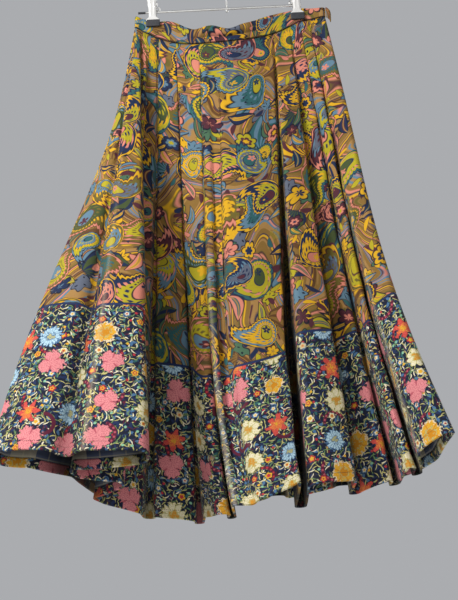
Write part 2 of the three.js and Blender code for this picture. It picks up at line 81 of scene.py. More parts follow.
# folds in plan along the hem, a row each: the two edges of the face, its bulge, the roll of its
# edges, where they meet the waist seam, the crease after the face and its roll, and then, where it
# isn't the usual, where along the face the bulge is and how worn its ridge
foldColumns = ("from", "to", "crown", "roll", "seam", "dip", "dipRoll", "crownAt", "worn")
usualFold = {"dip": None, "crownAt": 0.5, "worn": 0.1}
frontFolds = (
    ((-296, -226), (-226, -258), 5, 22, (-152, -149), (-204, -237), 14),  # left side
    ((-182, -263), (-94, -248), 16, 17, (-148, -143), (-206, -214), 12, 0.6, 0.8),  # broad
    ((-194, -190), (-134, -182), 4, 9, (-137, -131), (-180, -126), 8),  # curled behind it
    ((-163, -102), (-117, -70), 3, 9, (-122, -112), (-107, -36), 6),  # tucked away
    ((-98, -54), (-37, -67), 7, 10, (-107, -82), (-33, -44), 5),  # flat
    ((-25, -92), (5, -144), 4, 8, (-78, -44), (14, -120), 5),  # slanting
    ((14, -184), (43, -190), 1, 9, (-36, -10), None, 0, 0.5, 1.0),  # set back
    ((50, -209), (106, -204), 12, 9, (-4, 84), (113, -76), 7, 0.3),  # centre
    ((118, -180), (187, -152), 8, 12, (92, 114), (190, -74), 6, 0.4),  # right of it
    ((201, -86), (246, -100), 6, 9, (119, 133), (250, -70), 6),  # narrow
    ((256, -130), (264, -148), 2, 6, (138, 148), (277, -108), 6),  # a sliver
    ((266, -200), (296, -250), 6, 10, (156, 174), None, 0, 0.45, 1.0),  # right side
)
backFolds = (
    ((303, -192), (288, -70), 8, 20, (174, 167), (262, -8), 12),  # right side
    ((256, 46), (204, 56), 5, 14, (160, 118), (184, 8), 10),
    ((169, 52), (102, 50), 7, 14, (108, 62), (84, 6), 10, 0.6),
    ((68, 42), (26, 58), 4, 12, (52, 8), (10, 16), 8),
    ((-8, 53), (-72, 47), 8, 15, (-2, -46), (-88, 7), 10, 0.35),
    ((-106, 44), (-160, 52), 4, 16, (-56, -132), (-206, -158), 14),
    ((-262, -182), (-302, -176), 3, 10, (-147, -150)),  # left side
)
tips = {"left": {"at": (-318, -202), "roll": 14}, "right": {"at": (308, -243), "roll": 10}}
outline = {"crownRoll": 70, "hairpin": 112, "turnStep": 10, "straightStep": 6.5, "room": 0.49}


def unit(v):
    return v / np.linalg.norm(v, axis=-1, keepdims=True)


def smoothstep(x, low, high):
    t = np.clip((x - low) / (high - low), 0, 1)
    return t * t * (3 - 2 * t)


def hemCorners():
    corners = [dict(tips["left"], side=True)]
    for rows in (frontFolds, backFolds):
        for row in rows:
            fold = {**usualFold, **dict(zip(foldColumns, row))}
            start, end = np.array(fold["from"], float), np.array(fold["to"], float)
            along = end - start
            out = unit(np.array([along[1], -along[0]])) * fold["crown"]
            seam = fold["seam"]
            corners += [
                dict(at=start, roll=fold["roll"], seam=seam[0], face="start", worn=fold["worn"]),
                dict(at=start + along * fold["crownAt"] + out, roll=outline["crownRoll"]),
                dict(at=end, roll=fold["roll"], seam=seam[1], face="end"),
            ]
            if fold["dip"]:
                corners.append(dict(at=fold["dip"], roll=fold["dipRoll"], dip=True))
        if rows is frontFolds:
            corners.append(dict(tips["right"], side=True))
    for corner in corners:
        corner["at"] = np.array(corner["at"], float)
    return corners


# the direction in, the direction out and the signed turn at a corner
def turnAt(corners, k):
    here = corners[k]["at"]
    inward = unit(here - corners[k - 1]["at"])
    outward = unit(corners[(k + 1) % len(corners)]["at"] - here)
    cross = inward[0] * outward[1] - inward[1] * outward[0]
    return inward, outward, math.atan2(cross, float(inward @ outward))


# a corner that doubles back becomes a round end, one roll to each side
def squareHairpins(corners):
    made = []
    for k, corner in enumerate(corners):
        inward, outward, turn = turnAt(corners, k)
        if abs(turn) < math.radians(outline["hairpin"]):
            made.append(corner)
            continue
        axis = unit(inward - outward)
        across = np.array([-axis[1], axis[0]]) * -np.sign(turn) * corner["roll"]
        made.append({**corner, "at": corner["at"] + across})
        made.append({"at": corner["at"] - across, "roll": corner["roll"]})
    return made


# stations round the hem, from the left side round to itself: points and marks
def roundCorners(corners):
    arcs = []
    for k, corner in enumerate(corners):
        inward, outward, turn = turnAt(corners, k)
        turn = max(1e-6, abs(turn))
        here = corner["at"]
        before, after = corners[k - 1]["at"], corners[(k + 1) % len(corners)]["at"]
        room = outline["room"] * min(np.linalg.norm(here - before), np.linalg.norm(after - here))
        reach = min(corner["roll"] * math.tan(turn / 2), room)
        bend = 4 / 3 * math.tan(turn / 4) / math.tan(turn / 2)
        start, end = here - inward * reach, here + outward * reach
        leave, arrive = start + (here - start) * bend, end + (here - end) * bend
        steps = max(2, 2 * round(math.degrees(turn) / outline["turnStep"] / 2))
        t = np.linspace(0, 1, steps + 1)[:, None]
        arcs.append(start * (1 - t) ** 3 + 3 * leave * t * (1 - t) ** 2
                    + 3 * arrive * t * t * (1 - t) + end * t ** 3)
    points, marks = [], []
    for k, arc in enumerate(arcs):
        for j, point in enumerate(arc):
            points.append(point)
            marks.append(corners[k] if j == len(arc) // 2 else {})
        step = arcs[(k + 1) % len(arcs)][0] - arc[-1]
        between = int(np.linalg.norm(step) / outline["straightStep"])
        for j in range(1, between + 1):
            points.append(arc[-1] + step * j / (between + 1))
            marks.append({})
    first = next(k for k, mark in enumerate(marks) if mark.get("side"))
    points = points[first:] + points[:first + 1]
    marks = marks[first:] + marks[:first + 1]
    return np.array(points), marks


# the waist seam: its height and how far it stands out, at a place across
def seamHeight(x, sag):
    half = (waist["clipRight"] - waist["clipLeft"]) / 2
    share = (x - (waist["clipLeft"] + waist["clipRight"]) / 2) / half
    rise = waist["seamAtRightClip"] - waist["seamAtLeftClip"]
    chord = waist["seamAtLeftClip"] + rise * (share + 1) / 2
    hung = chord - np.where(share < -1, halves["front"]["sag"], sag) * (1 - share * share)
    beyond = waist["seamAtRightClip"] + waist["slopeRight"] * (x - waist["clipRight"])
    return np.where(share > 1, beyond, hung)


def seamDepth(x, belly):
    zone = waist["gripZone"]
    low, high = waist["clipLeft"] + zone, waist["clipRight"] - zone
    between = waist["gripDepth"] + belly * np.sin(np.pi * np.clip((x - low) / (high - low), 0, 1)) ** 2
    end = np.where(x < 0, waist["left"], waist["right"])
    grip = np.where(x < 0, waist["clipLeft"] - zone, waist["clipRight"] + zone)
    toEnd = np.abs(end - x)
    span = np.abs(end - grip)
    swell = smoothstep(span - toEnd, 0, span)
    rounded = np.sqrt(1 - np.maximum(0, 1 - toEnd / waist["endRound"]) ** 2)
    outer = (waist["gripDepth"] + waist["endBelly"] * swell) * rounded
    return np.where((x > low) & (x < high), between, outer)


def seamPath(half):
    share = 0.5 - 0.5 * np.cos(np.pi * np.arange(waist["steps"] + 1) / waist["steps"])
    if half["side"] > 0:
        share = 1 - share
    x = waist["left"] + (waist["right"] - waist["left"]) * share
    points = np.stack([x, seamDepth(x, half["belly"]) * half["side"], seamHeight(x, half["sag"])], 1)
    return points, runLength(points)


def runLength(points):
    steps = np.linalg.norm(np.diff(points, axis=0), axis=1)
    return np.concatenate([[0], np.cumsum(steps)])


# one line of cloth from waist to hem for each station
def clothLines(hem, marks, half):
    path, along = seamPath(half)
    hemRun = runLength(hem)
    hemKnots, waistKnots = [0], [0]
    for k, mark in enumerate(marks):
        if "seam" in mark:
            near = np.abs(path[:, 0] - mark["seam"]) < waist["nearEnough"]
            hemKnots.append(hemRun[k])
            waistKnots.append(along[int(np.argmax(near))])
    hemKnots.append(hemRun[-1])
    waistKnots.append(along[-1])
    onWaist = np.interp(hemRun, hemKnots, waistKnots)
    top = np.stack([np.interp(onWaist, along, path[:, i]) for i in range(3)], 1)
    reach = np.linalg.norm(hem - top[:, :2], axis=1)
    length = skirt["length"] - half["lift"] * np.sin(np.pi * hemRun / hemRun[-1])
    foot = np.column_stack([hem, top[:, 2] - np.sqrt(length ** 2 - reach ** 2)])
    return {"top": top, "foot": foot, "run": hemRun, "marks": marks}


# points on the cloth, one row for each share of its length
def hang(lines, shares):
    top, foot = lines["top"], lines["foot"]
    s = np.asarray(shares, float)[:, None]
    sideways = smoothstep(np.abs(foot[:, 0]), swing["from"], swing["full"])
    left = foot[:, 0] < 0
    steady, early = [middle + (np.where(left, atLeft, atRight) - middle) * sideways
                     for middle, atLeft, atRight in zip(swing["middle"], swing["left"], swing["right"])]
    within = (foot[:, 0] > flare["left"]) & (foot[:, 0] < flare["right"])
    held = (foot[:, 0] > setBack["left"]) & (foot[:, 0] < setBack["right"])
    more = np.where(held, setBack["more"] * smoothstep(-foot[:, 1], setBack["none"], setBack["full"]), 0)
    flared = np.where(within, smoothstep(-foot[:, 1], flare["none"], flare["full"]), 0)
    flared = (1 + more) * flared * flare["growth"] * s * s * (1 - s)
    reach = s - steady * np.sin(np.pi * s) - early * np.sin(2 * np.pi * s) - flare["heldIn"] * flared
    fall = s + flare["lower"] * flared
    plan = top[None, :, :2] + (foot - top)[None, :, :2] * reach[..., None]
    z = top[None, :, 2] + (foot - top)[None, :, 2] * fall
    return np.concatenate([plan, z[..., None]], 2)


def outward(points):
    along = unit(np.gradient(points, axis=1))
    down = np.gradient(points, axis=0)
    return unit(np.cross(down, along))


# smooth random relief from -1 to 1 over a grid of places
reliefTable = {"size": 64, "shift": (7.3, 3.1)}


def relief(u, v, cell, seed):
    size, shift = reliefTable["size"], reliefTable["shift"]
    table = np.random.RandomState(seed).uniform(-1, 1, (size, size))
    x, y = u / cell[0] + shift[0], v / cell[1] + shift[1]
    i, j = np.floor(x).astype(int), np.floor(y).astype(int)
    fx, fy = smoothstep(x - i, 0, 1), smoothstep(y - j, 0, 1)
    at = lambda a, b: table[a % size, b % size]
    low = at(i, j) * (1 - fx) + at(i + 1, j) * fx
    high = at(i, j + 1) * (1 - fx) + at(i + 1, j + 1) * fx
    return low * (1 - fy) + high * fy


# how far the cloth stands out from its plain surface: soft waves down it, calmer at its ends, and
# small gathers that widen down from the waistband and fade out
cloth = {"wave": 1.7, "waveCell": (46, 240), "fine": 0.55, "fineCell": (17, 90), "atWaist": 0.35,
         "livelyFrom": 160, "calmBy": 0.35, "calmFrom": 0.7}
gathers = {"count": 26, "depth": (0.6, 1.9), "length": (0.07, 0.3), "width": (3.5, 8), "widen": 2.5,
           "below": 0.012, "fullFor": 0.2}


def rumple(run, waistRun, shares, seed):
    s = np.asarray(shares, float)[:, None]
    down = s * skirt["length"]
    u = run[None, :] * np.ones_like(s)
    calm = cloth["calmBy"] * smoothstep(s, cloth["calmFrom"], 1.0)
    lively = smoothstep(down, 0, cloth["livelyFrom"]) * (1 - calm)
    across = u * (cloth["atWaist"] + (1 - cloth["atWaist"]) * s)
    rise = cloth["wave"] * relief(across, down, cloth["waveCell"], seed) * lively
    rise = rise + cloth["fine"] * relief(u, down, cloth["fineCell"], seed + 1) * lively
    random = np.random.RandomState(seed + 2)
    for _ in range(gathers["count"]):
        at = random.uniform(waistRun[0], waistRun[-1])
        depth, length = random.uniform(*gathers["depth"]), random.uniform(*gathers["length"])
        width = random.uniform(*gathers["width"]) * (1 + gathers["widen"] * s)
        near = np.exp(-((waistRun[None, :] - at) / width) ** 2)
        fade = smoothstep(s, 0, gathers["below"]) * (1 - smoothstep(s, gathers["fullFor"] * length, length))
        rise = rise - depth * near * fade
    return rise


# where each station lies in the cloth: at its true width on every face and round its edges, with
# what is taken up higher in the skirt tucked away at the bottom of the creases
def printAcross(points, lines):
    spans = faceSpans(lines["marks"])
    across = np.zeros(points.shape[:2])
    for row, ring in enumerate(points):
        run = runLength(ring)
        for span in spans:
            k, j = span["face"]
            middle = (run[k] + run[j]) / 2
            centre = (lines["run"][k] + lines["run"][j]) / 2
            part = slice(span["from"], span["to"])
            across[row, part] = centre + run[part] - middle
    return across


# the stations that each face owns, as far as the creases beside it
def faceSpans(marks):
    starts = [k for k, mark in enumerate(marks) if mark.get("face") == "start"]
    ends = [k for k, mark in enumerate(marks) if mark.get("face") == "end"]
    spans = []
    for n, (k, j) in enumerate(zip(starts, ends)):
        after = starts[n + 1] if n + 1 < len(starts) else len(marks)
        dips = [m for m in range(j, after) if m < len(marks) and marks[m].get("dip")]
        last = n + 1 == len(starts)
        to = len(marks) if last else dips[0] + 1 if dips else j + 1
        start = spans[-1]["to"] if spans else 0
        spans.append({"face": (k, j), "from": start, "to": to, "dip": bool(dips)})
    return spans


# painted shade in the creases: how far each place lies inside a crease, from the line across its mouth,
# from 0 on the faces to 1 well inside, and painted shade too in the seam under the waistband
creaseShadeSet = {"from": 0, "full": 32, "below": 0.08, "seam": 0.95, "seamWidth": 2.2}


def paintedCreaseShade(points, lines, shares):
    spans = faceSpans(lines["marks"])
    depth = np.zeros(points.shape[:2])
    for row, ring in enumerate(points):
        run = runLength(ring)
        for here, after in zip(spans, spans[1:]):
            if here["dip"]:
                j, k = here["face"][1], after["face"][0]
                mouth = ring[k] - ring[j]
                share = np.clip((ring - ring[j]) @ mouth / (mouth @ mouth), 0, 1)
                inside = np.linalg.norm(ring - ring[j] - share[:, None] * mouth, axis=1)
                inside = np.where((run > run[j]) & (run < run[k]), inside, 0)
                inside = smoothstep(inside, creaseShadeSet["from"], creaseShadeSet["full"])
                depth[row] = np.maximum(depth[row], inside)
    depth = depth * smoothstep(shares, 0, creaseShadeSet["below"])[:, None]
    # painted shade along the seam under the waistband
    seam = creaseShadeSet["seam"] * np.exp(-(shares * skirt["length"] / creaseShadeSet["seamWidth"]) ** 2)
    return np.maximum(depth, seam[:, None])


# how worn the pile is: most along the left ridges of some folds, and more of it lower down
wear = {"beside": 3, "width": (1.2, 3.6), "none": 0.3, "full": 0.85}


def wornRidges(points, lines, shares):
    run = np.stack([runLength(ring) for ring in points])
    s = np.asarray(shares, float)[:, None]
    width = wear["width"][0] + (wear["width"][1] - wear["width"][0]) * s
    worn = np.zeros(points.shape[:2])
    for k, mark in enumerate(lines["marks"]):
        if "worn" in mark:
            fromRidge = run - run[:, k:k + 1] - wear["beside"] * s
            worn = np.maximum(worn, mark["worn"] * np.exp(-(fromRidge / width) ** 2))
    return worn * smoothstep(s, wear["none"], wear["full"])


hemPoints, hemMarks = roundCorners(squareHairpins(hemCorners()))
rightSide = [k for k, mark in enumerate(hemMarks) if mark.get("side")][1]
spans = {"front": slice(0, rightSide + 1), "back": slice(rightSide, None)}
linesOf = {}
for name, half in halves.items():
    linesOf[name] = clothLines(hemPoints[spans[name]], hemMarks[spans[name]], half)
print("hem stations", {name: len(lines["run"]) for name, lines in linesOf.items()},
      "hem lengths", {name: round(float(lines["run"][-1])) for name, lines in linesOf.items()})


# the middle surface of one half at so many shares down it, in metres, with normals, print places,
# the painted shade of its creases and seam and how worn it is; it is plain beside the side seams
surfaceSet = {"beyond": 0.004, "plainFor": 30, "printBack": 2600}


def surface(name, shares):
    lines, half = linesOf[name], halves[name]
    shares = np.asarray(shares, float)
    points = hang(lines, shares)
    beyond, run = surfaceSet["beyond"], lines["run"]
    ghost = hang(lines, np.concatenate([[shares[0] - beyond], shares, [shares[-1] + beyond]]))
    out = outward(ghost)[1:-1]
    fade = smoothstep(run, 0, surfaceSet["plainFor"]) * smoothstep(run[-1] - run, 0, surfaceSet["plainFor"])
    rise = rumple(run, runLength(lines["top"]), shares, half["seed"]) * fade[None, :]
    across = printAcross(points, lines) + surfaceSet["printBack"] * (name == "back")
    points = points + out * rise[..., None]
    down = shares[:, None] * skirt["length"] * np.ones_like(across)
    return {"points": points * mm, "out": out, "places": np.stack([across, -down], 2) * mm,
            "paintedShade": paintedCreaseShade(points, lines, shares), "worn": wornRidges(points, lines, shares)}


# meshes
def newObject(name, mesh, materials):
    obj = bpy.data.objects.new(name, mesh)
    for material in materials:
        mesh.materials.append(material)
    bpy.context.scene.collection.objects.link(obj)
    return obj


# a closed wall between two offsets from a grid; its inner side takes the last of its materials
def wallMesh(name, grid, outer, inner, materials):
    points, out = grid["points"], grid["out"]
    rows, columns = points.shape[:2]
    outer, inner = np.broadcast_to(outer, (rows, columns)), np.broadcast_to(inner, (rows, columns))
    sides = [points + out * outer[..., None], points + out * inner[..., None]]
    vertices = np.concatenate([side.reshape(-1, 3) for side in sides])
    uvs = np.concatenate([grid["places"].reshape(-1, 2)] * 2)
    cell = np.arange(rows * columns).reshape(rows, columns)
    a, b, c, d = [part.ravel() for part in (cell[:-1, :-1], cell[1:, :-1], cell[1:, 1:], cell[:-1, 1:])]
    n = rows * columns
    faces = [np.stack([a, b, c, d], 1), np.stack([a, d, c, b], 1) + n]
    for edge, flip in ((cell[0], 0), (cell[-1], 1), (cell[:, 0], 1), (cell[:, -1], 0)):
        p, q = edge[:-1], edge[1:]
        strip = np.stack([p, q, q + n, p + n], 1)
        faces.append(strip[:, ::-1] if flip else strip)
    faces = np.concatenate(faces)
    mesh = bpy.data.meshes.new(name)
    mesh.from_pydata(vertices.tolist(), [], faces.tolist())
    layer = mesh.uv_layers.new(name="print")
    layer.data.foreach_set("uv", uvs[faces.ravel()].astype(np.float32).ravel())
    # attributes the material reads: the painted shade of creases and seams, and the wear
    for label in ("paintedShade", "worn"):
        if label in grid:
            layer = mesh.attributes.new(label, "FLOAT", "POINT")
            layer.data.foreach_set("value", np.tile(grid[label].ravel(), 2).astype(np.float32))
    count = len(a)
    slots = np.zeros(len(faces), np.int32)
    slots[count:2 * count] = len(materials) - 1
    mesh.polygons.foreach_set("material_index", slots)
    mesh.polygons.foreach_set("use_smooth", np.arange(len(faces)) < 2 * count)
    mesh.update()
    return newObject(name, mesh, materials)


# materials
def tone(*rgb):
    line = lambda c: c / 12.92 if c <= 0.04045 else ((c + 0.055) / 1.055) ** 2.4
    return (*[line(c / 255) for c in rgb], 1)


tones = {name: tone(*rgb) for name, rgb in {
    "ochre": (132, 100, 48), "tan": (160, 122, 70), "mustard": (212, 162, 30), "lime": (172, 158, 34),
    "salmon": (208, 128, 108), "navy": (30, 42, 72), "teal": (46, 92, 94), "sea": (72, 104, 78),
    "mist": (92, 122, 140), "plum": (80, 40, 50), "brown": (96, 64, 36), "olive": (104, 92, 40),
    "moss": (66, 78, 44), "ink": (20, 24, 40), "cream": (228, 218, 186), "straw": (186, 178, 112),
    "leaf": (104, 132, 82), "sky": (72, 108, 144), "mint": (134, 184, 150), "red": (180, 52, 58),
    "maroon": (92, 30, 50), "pink": (224, 140, 142), "rose": (180, 84, 96), "coral": (206, 82, 70),
    "flame": (226, 128, 64), "gold": (222, 168, 48), "honey": (200, 132, 26), "ice": (184, 214, 224),
    "khaki": (172, 162, 130), "slate": (92, 98, 112), "denim": (34, 48, 84), "night": (26, 32, 50),
    "bare": (206, 190, 160),
}.items()}


def feed(socket, value):
    if isinstance(value, bpy.types.NodeSocket):
        socket.id_data.links.new(value, socket)
    else:
        socket.default_value = value


# a node with its settings and inputs; what comes back is one of its outputs
def makeNode(tree, kind, inputs=(), out=0, **settings):
    node = tree.nodes.new(kind)
    for name, value in settings.items():
        setattr(node, name, value)
    for key, value in dict(inputs).items():
        feed(node.inputs[key], value)
    return node.outputs[out]


# a shader node, in the tree of the first socket that feeds it unless a tree is given
def addNode(kind, inputs=(), out=0, tree=None, **settings):
    inputs = dict(inputs)
    fed = [value for value in inputs.values() if isinstance(value, bpy.types.NodeSocket)]
    return makeNode(tree or fed[0].id_data, "ShaderNode" + kind, inputs, out, **settings)


def calc(operation, *values, clamp=False):
    return addNode("Math", enumerate(values), operation=operation, use_clamp=clamp)


def times(*values):
    product = values[0]
    for value in values[1:]:
        product = calc("MULTIPLY", product, value)
    return product


# value times factor, plus term
def scaled(value, factor, term, clamp=False):
    return calc("MULTIPLY_ADD", value, factor, term, clamp=clamp)


def vec(operation, *values, out=0):
    return addNode("VectorMath", enumerate(values), out, operation=operation)


def noise(place, scale, detail, out=0, **settings):
    return addNode("TexNoise", {"Vector": place, "Scale": scale, "Detail": detail}, out, **settings)


def flatNoise(place, scale, detail, out=0):
    return noise(place, scale, detail, out, noise_dimensions="2D")


# 1 where the value is below the edge, 0 above it, with a soft change between
def below(value, edge, soft):
    return scaled(calc("SUBTRACT", edge, value), 0.5 / soft, 0.5, clamp=True)


def near(value, middle, width, soft):
    return below(calc("ABSOLUTE", calc("SUBTRACT", value, middle)), width, soft)


# a colour over another: a tone by its name, or else a colour or the socket of one
def paint(mask, under, over):
    over = tones[over] if isinstance(over, str) else over
    return addNode("Mix", {0: mask, 6: under, 7: over}, 2, data_type="RGBA")


# one of several tones, by a value from 0 to 1
def pick(value, names):
    chosen = addNode("ValToRGB", {0: value})
    ramp = chosen.node.color_ramp
    ramp.interpolation = "CONSTANT"
    while len(ramp.elements) < len(names):
        ramp.elements.new(1)
    for k in range(len(names)):
        ramp.elements[k].position = k / len(names)
    for k, name in enumerate(names):
        ramp.elements[k].color = tones[name]
    return chosen


def split(vector):
    return addNode("SeparateXYZ", {0: vector}).node.outputs[:2]


# scattered places: the way from the nearest one, turned at random, and three random values
placed = {"shift": (1.37, 0.73), "shareSoft": 0.01}


def scatter(place, spot):
    moved = vec("ADD", place, (*[spot["seed"] * step for step in placed["shift"]], 0))
    cells = addNode("TexVoronoi", {"Scale": 1 / spot["cell"], "Randomness": spot["spread"], "Vector": moved},
                    voronoi_dimensions="2D").node.outputs
    turn, kind, size = addNode("SeparateColor", {0: cells["Color"]}).node.outputs
    local = vec("SUBTRACT", moved, cells["Position"])
    around = {"Vector": local, "Angle": times(turn, 2 * math.pi)}
    return addNode("VectorRotate", around, rotation_type="Z_AXIS"), turn, kind, size


def polar(local):
    x, y = split(local)
    return vec("LENGTH", local, out=1), calc("ARCTAN2", y, x)


def lobes(angle, count, shift=0.0):
    return calc("COSINE", scaled(angle, float(count), shift))


def newGroup(name, given, made):
    tree = bpy.data.node_groups.new(name, "ShaderNodeTree")
    for way, sockets in (("INPUT", given), ("OUTPUT", made)):
        for label, kind in sockets.items():
            tree.interface.new_socket(name=label, in_out=way, socket_type="NodeSocket" + kind)
    return tree, tree.nodes.new("NodeGroupInput").outputs, tree.nodes.new("NodeGroupOutput").inputs


# a print is a group that turns a place on the cloth into a colour
def printGroup(draw):
    tree, given, result = newGroup(draw.__name__, {"Place": "Vector"}, {"Color": "Color"})
    feed(result[0], draw(given[0]))
    return tree


# how far out a place lies in a leaf shape, 1 at its edge, and how far from the leaf's middle line
def leafShape(local, spot):
    x, y = split(local)
    bent = scaled(times(x, x), spot.get("bend", 0.0), y)
    along = calc("DIVIDE", x, spot["long"])
    across = calc("DIVIDE", calc("ABSOLUTE", bent), spot["wide"])
    return scaled(along, along, across), across


# a curled teardrop: the rings from its edge inwards, tongues in two rows, a heart and a flower,
# each as a share of its size
teardrop = {
    "soft": 0.015, "point": 5.0, "tail": 0.66, "round": 0.5, "sizes": (0.3, 0.8), "scallop": 0.08,
    "rings": ((1.12, "outline"), (1.06, "edge"), (0.97, "outline"), (0.93, "rim"), (0.74, "outline")),
    "field": 0.7, "rows": ((0.8, 0.06, "edge"), (0.58, 0.045, "rim")), "rowSoft": 0.25,
    "heart": ((0.47, "outline"), (0.43, "inner")), "petals": 5, "notch": 0.11, "flower": 0.09, "eye": 0.055,
}


def addTeardrops(under, place, spot):
    local, turn, kind, size = scatter(place, spot)
    radius, plainAngle = polar(local)
    angle = calc("ADD", plainAngle, times(radius, spot["curl"] / spot["reach"]))
    tip = calc("POWER", scaled(calc("COSINE", angle), 0.5, 0.5), teardrop["point"])
    edge = scaled(tip, teardrop["tail"], teardrop["round"])
    more, least = teardrop["sizes"]
    scale = scaled(size, more * spot["reach"], least * spot["reach"])
    q = calc("DIVIDE", radius, times(edge, scale))
    wavy = scaled(calc("ABSOLUTE", lobes(angle, spot["scallops"] / 2)), -teardrop["scallop"], q)
    soft = teardrop["soft"]
    layers = [(below(wavy, reach, soft), kind, names) for reach, names in teardrop["rings"]]
    layers.append((below(wavy, teardrop["field"], soft), size, "field"))
    tongues = below(lobes(angle, spot["tongues"]), 0.0, teardrop["rowSoft"])
    for (middle, width, names), value in zip(teardrop["rows"], (size, kind)):
        layers.append((times(near(q, middle, width, soft), tongues), value, names))
    layers += [(below(q, reach, soft), kind, names) for reach, names in teardrop["heart"]]
    flower = calc("DIVIDE", radius, scale)
    petals = scaled(calc("ABSOLUTE", lobes(plainAngle, teardrop["petals"] / 2)), -teardrop["notch"], flower)
    layers.append((below(petals, teardrop["flower"], soft), turn, "petals"))
    layers.append((below(flower, teardrop["eye"], soft), size, "edge"))
    colour = under
    for mask, value, names in layers:
        colour = paint(mask, colour, pick(value, spot[names]))
    return colour


# small pointed leaves, with an outline, a second tone and a vein where they are asked for: how far
# out each reaches and how soft its edge is, and for the last two also across the leaf
leafParts = {"outline": (1.22, 0.08), "leaf": (1.0, 0.1), "second": (0.62, 0.08, 0.34, 0.06),
             "vein": (0.85, 0.1, 0.12, 0.06)}


def addLeaves(under, place, spot):
    local, turn, kind, size = scatter(place, spot)
    m, across = leafShape(local, spot)
    keep = below(size, spot["share"], placed["shareSoft"])
    colour = under
    if "outline" in spot:
        colour = paint(times(below(m, *leafParts["outline"]), keep), colour, spot["outline"])
    leaf = times(below(m, *leafParts["leaf"]), keep)
    colour = paint(leaf, colour, pick(kind, spot["colours"]))
    for part in ("second", "vein"):
        if part in spot:
            reach, soft, width, widthSoft = leafParts[part]
            mask = times(below(across, width, widthSoft), leaf, below(m, reach, soft))
            colour = paint(mask, colour, pick(turn, spot[part]) if part == "second" else spot[part])
    return colour


# a fan of long narrow tongues that spring from one side, as of a feathery leaf
fan = {"foot": 0.9, "jag": 0.16, "outline": 1.12, "soft": 0.04, "lines": (-0.2, 0.25)}


def addFans(under, place, spot):
    local, _, kind, size = scatter(place, spot)
    radius, angle = polar(vec("ADD", local, (spot["long"] * fan["foot"], 0.0, 0.0)))
    stripes = calc("SINE", scaled(radius, spot["sweep"], times(angle, spot["tongues"])))
    jagged = scaled(stripes, fan["jag"], leafShape(local, spot)[0])
    keep = below(size, spot["share"], placed["shareSoft"])
    colour = paint(times(below(jagged, fan["outline"], fan["soft"]), keep), under, "ink")
    mask = times(below(jagged, 1.0, fan["soft"]), keep)
    colour = paint(mask, colour, pick(kind, spot["colours"]))
    return paint(times(below(stripes, *fan["lines"]), mask), colour, pick(kind, spot["lines"]))


# broad ragged patches of one tone, with a dark edge and a few dark specks
patch = {"broad": 3, "narrow": 7, "broadness": 0.6, "outline": 1.1, "soft": 0.04,
         "speckRing": (0.66, 0.12, 0.05), "specks": 5, "speck": (-0.75, 0.1)}


def addPatches(under, place, spot):
    local, _, kind, size = scatter(place, spot)
    radius, angle = polar(local)
    ragged = scaled(lobes(angle, patch["broad"]), patch["broadness"], lobes(angle, patch["narrow"], 1.0))
    ragged = scaled(ragged, 0.5 * spot["ragged"], 1.0)
    q = calc("DIVIDE", radius, times(ragged, spot["reach"]))
    keep = below(size, spot["share"], placed["shareSoft"])
    colour = paint(times(below(q, patch["outline"], patch["soft"]), keep), under, spot["edge"])
    mask = times(below(q, 1.0, patch["soft"]), keep)
    colour = paint(mask, colour, pick(kind, spot["colours"]))
    specks = times(near(q, *patch["speckRing"]), below(lobes(angle, patch["specks"]), *patch["speck"]))
    return paint(times(specks, mask), colour, spot["edge"])


# flowers of so many petals, in rings from the edge to the heart
flowerRings = {"edge": 1.16, "petal": 1.0, "inner": 0.6, "heart": 0.3, "fullness": 0.6,
               "soft": 0.05}


def addFlowers(under, place, spot):
    local, turn, kind, size = scatter(place, spot)
    radius, angle = polar(local)
    lobe = calc("POWER", calc("ABSOLUTE", lobes(angle, spot["petals"] / 2)), flowerRings["fullness"])
    petal = scaled(lobe, spot["cut"], 1 - spot["cut"])
    q = calc("DIVIDE", radius, times(petal, spot["reach"]))
    keep = below(size, spot["share"], placed["shareSoft"])
    overs = {"edge": spot["edge"], "petal": pick(kind, spot["colours"]), "inner": pick(kind, spot["inner"]),
             "heart": pick(turn, spot["heart"])}
    colour = under
    for ring, over in overs.items():
        mask = times(below(q, flowerRings[ring], spot.get("soft", flowerRings["soft"])), keep)
        colour = paint(mask, colour, over)
    return colour


